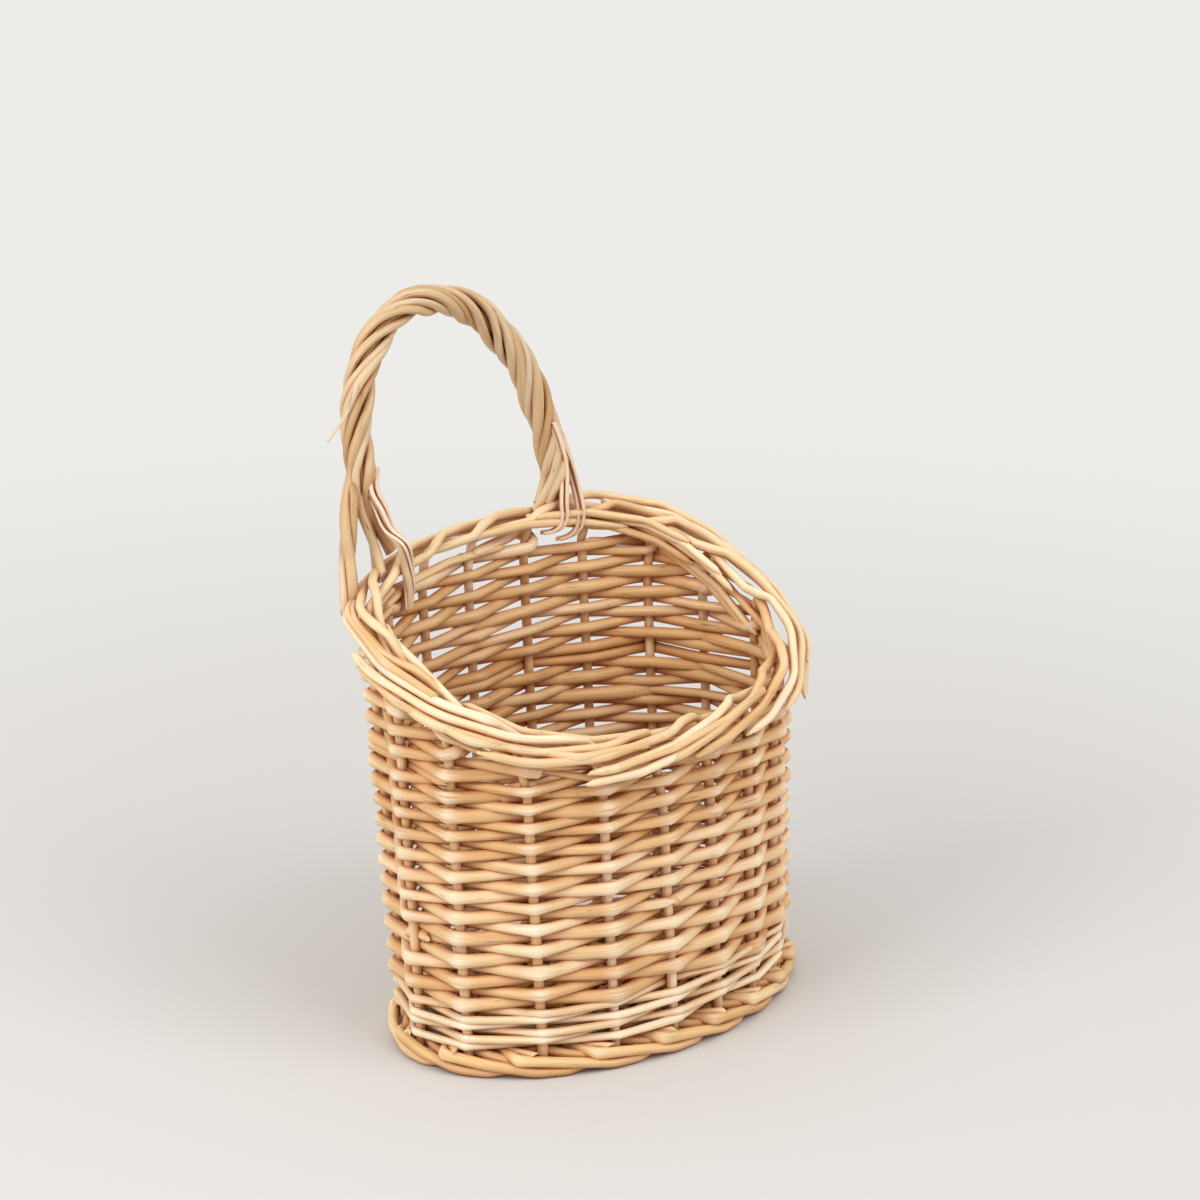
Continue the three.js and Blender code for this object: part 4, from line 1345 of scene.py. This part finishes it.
for k, loop in enumerate(RIGHT_LOOPS):
    tie = Rods()
    for fine in range(RODS_PER_TIE):
        way = smooth_curve(wound(loop, fine / RODS_PER_TIE, LOOP_SPREAD, LOOP_TURNS), LOOP_RINGS)
        sweep(tie, way, TIE_BUTT - TIE_THINNER * fine, TIE_TIP, sides=8)
    name = "tie_right_%d" % (k + 1)
    make_piece(tie, "willow_" + name, "ties", "handle_" + name)
print("ties on the right:", len(RIGHT_LOOPS))

# %% [markdown]
# The frayed rods on the left all follow the inner way. Each is wound round it by its own random amount,
# and the second of each three ends one place sooner.

# %% Ties on the left
LEFT_TIES, FRAYED_BUTT, FRAYED_TIP, FRAYED_RINGS = 2, 0.85, 0.4, 70
inner_places = [inner_start, *inner_way]

for k in range(LEFT_TIES):
    tie = Rods()
    for fine in range(RODS_PER_TIE):
        places = inner_places[:len(inner_places) - fine % 2]
        ragged = wound(places, rng.uniform(), rng.uniform(1.4, 2.4), rng.uniform(0.3, 0.9))
        sweep(tie, smooth_curve(ragged, FRAYED_RINGS), FRAYED_BUTT, FRAYED_TIP, sides=8)
    name = "tie_left_%d" % (k + 1)
    make_piece(tie, "willow_" + name, "ties", "handle_" + name)
print("ties on the left:", LEFT_TIES)

# %% [markdown]
# ## Floor
#
# The basket stands on a pale painted floor, which shows its shadow. Far from the basket the camera sees
# one plain pale colour instead, and near it the two blend. Light Path tells which rays the camera
# sends. Reflections and views through something clear should show the same, so their rays count too.
# The plain colour gives no light to anything.

# %% Floor
PLAIN = linear("#EDECE9")
BLEND_FROM, BLEND_TO = 0.22, 0.75


def seen_by_camera(tree):
    rays = node(tree, "ShaderNodeLightPath").node.outputs
    seen = rays["Is Camera Ray"]
    for other in ("Is Glossy Ray", "Is Transmission Ray"):
        seen = node(tree, "ShaderNodeMath", {0: seen, 1: rays[other]}, operation="MAXIMUM")
    return seen


bpy.ops.mesh.primitive_plane_add(size=8, location=(0, 0, 0))
floor = bpy.context.object
floor.name = "floor"
paint = bpy.data.materials.new("pale floor")
paint.use_nodes = True
tree = paint.node_tree
surface = tree.nodes["Principled BSDF"]
surface.inputs["Base Color"].default_value = linear("#CFCDCB")
surface.inputs["Roughness"].default_value = 0.85

place = node(tree, "ShaderNodeTexCoord", None, "Object")
away = node(tree, "ShaderNodeVectorMath", {0: place}, "Value", operation="LENGTH")
limits = {0: away, 1: BLEND_FROM, 2: BLEND_TO}
far = node(tree, "ShaderNodeMapRange", limits, interpolation_type="SMOOTHSTEP")
share = node(tree, "ShaderNodeMath", {0: far, 1: seen_by_camera(tree)}, operation="MULTIPLY")
plain = node(tree, "ShaderNodeEmission", {"Color": PLAIN, "Strength": 1.0})
blend = node(tree, "ShaderNodeMixShader", {0: share, 1: surface.outputs[0], 2: plain})
tree.links.new(blend, tree.nodes["Material Output"].inputs["Surface"])
floor.data.materials.append(paint)
print("floor blends to the plain colour from %.2f to %.2f m away" % (BLEND_FROM, BLEND_TO))

# %% [markdown]
# ## Light
#
# The room is bright all round, which a world of one warm white gives. The camera sees the floor's plain
# colour past the floor's edge too. A big window on the left and a soft lamp from the room in front
# give the rods their shape.

# %% World
world = bpy.data.worlds.new("studio")
bpy.context.scene.world = world
world.use_nodes = True
sky = world.node_tree
background = sky.nodes["Background"]
background.inputs["Color"].default_value = linear("#FFFDFA")
background.inputs["Strength"].default_value = 0.82
plain = node(sky, "ShaderNodeBackground", {"Color": PLAIN, "Strength": 1.0})
blend = node(sky, "ShaderNodeMixShader", {0: seen_by_camera(sky), 1: background.outputs[0], 2: plain})
sky.links.new(blend, sky.nodes["World Output"].inputs["Surface"])
print("world nodes:", len(sky.nodes))

# %% [markdown]
# ### Lamps
#
# A lamp is placed by its direction from the basket and by its distance, as a photographer would. A
# square area lamp gives soft shadows, and the larger it is, the softer they are. It has to face the
# basket, and its own Z axis points away from what it lights.

# %% Lamps
def soft_light(name, azimuth, elevation, distance, size, power):
    """A square lamp round the basket. Azimuth 0 stands in front, and 90 on the right."""
    a, e = math.radians(azimuth), math.radians(elevation)
    away = Vector((math.sin(a) * math.cos(e), -math.cos(a) * math.cos(e), math.sin(e)))
    bpy.ops.object.light_add(type="AREA", location=aim + away * distance)
    lamp = bpy.context.object
    lamp.name = name
    lamp.rotation_euler = away.to_track_quat("Z", "Y").to_euler()
    lamp.data.size = size
    lamp.data.energy = power
    print(name, "at", [round(c, 2) for c in lamp.location])


soft_light("window", azimuth=-95, elevation=35, distance=1.6, size=0.9, power=12)
soft_light("room", azimuth=5, elevation=48, distance=2.2, size=1.4, power=16.5)
bpy.context.scene.view_settings.view_transform = "Standard"
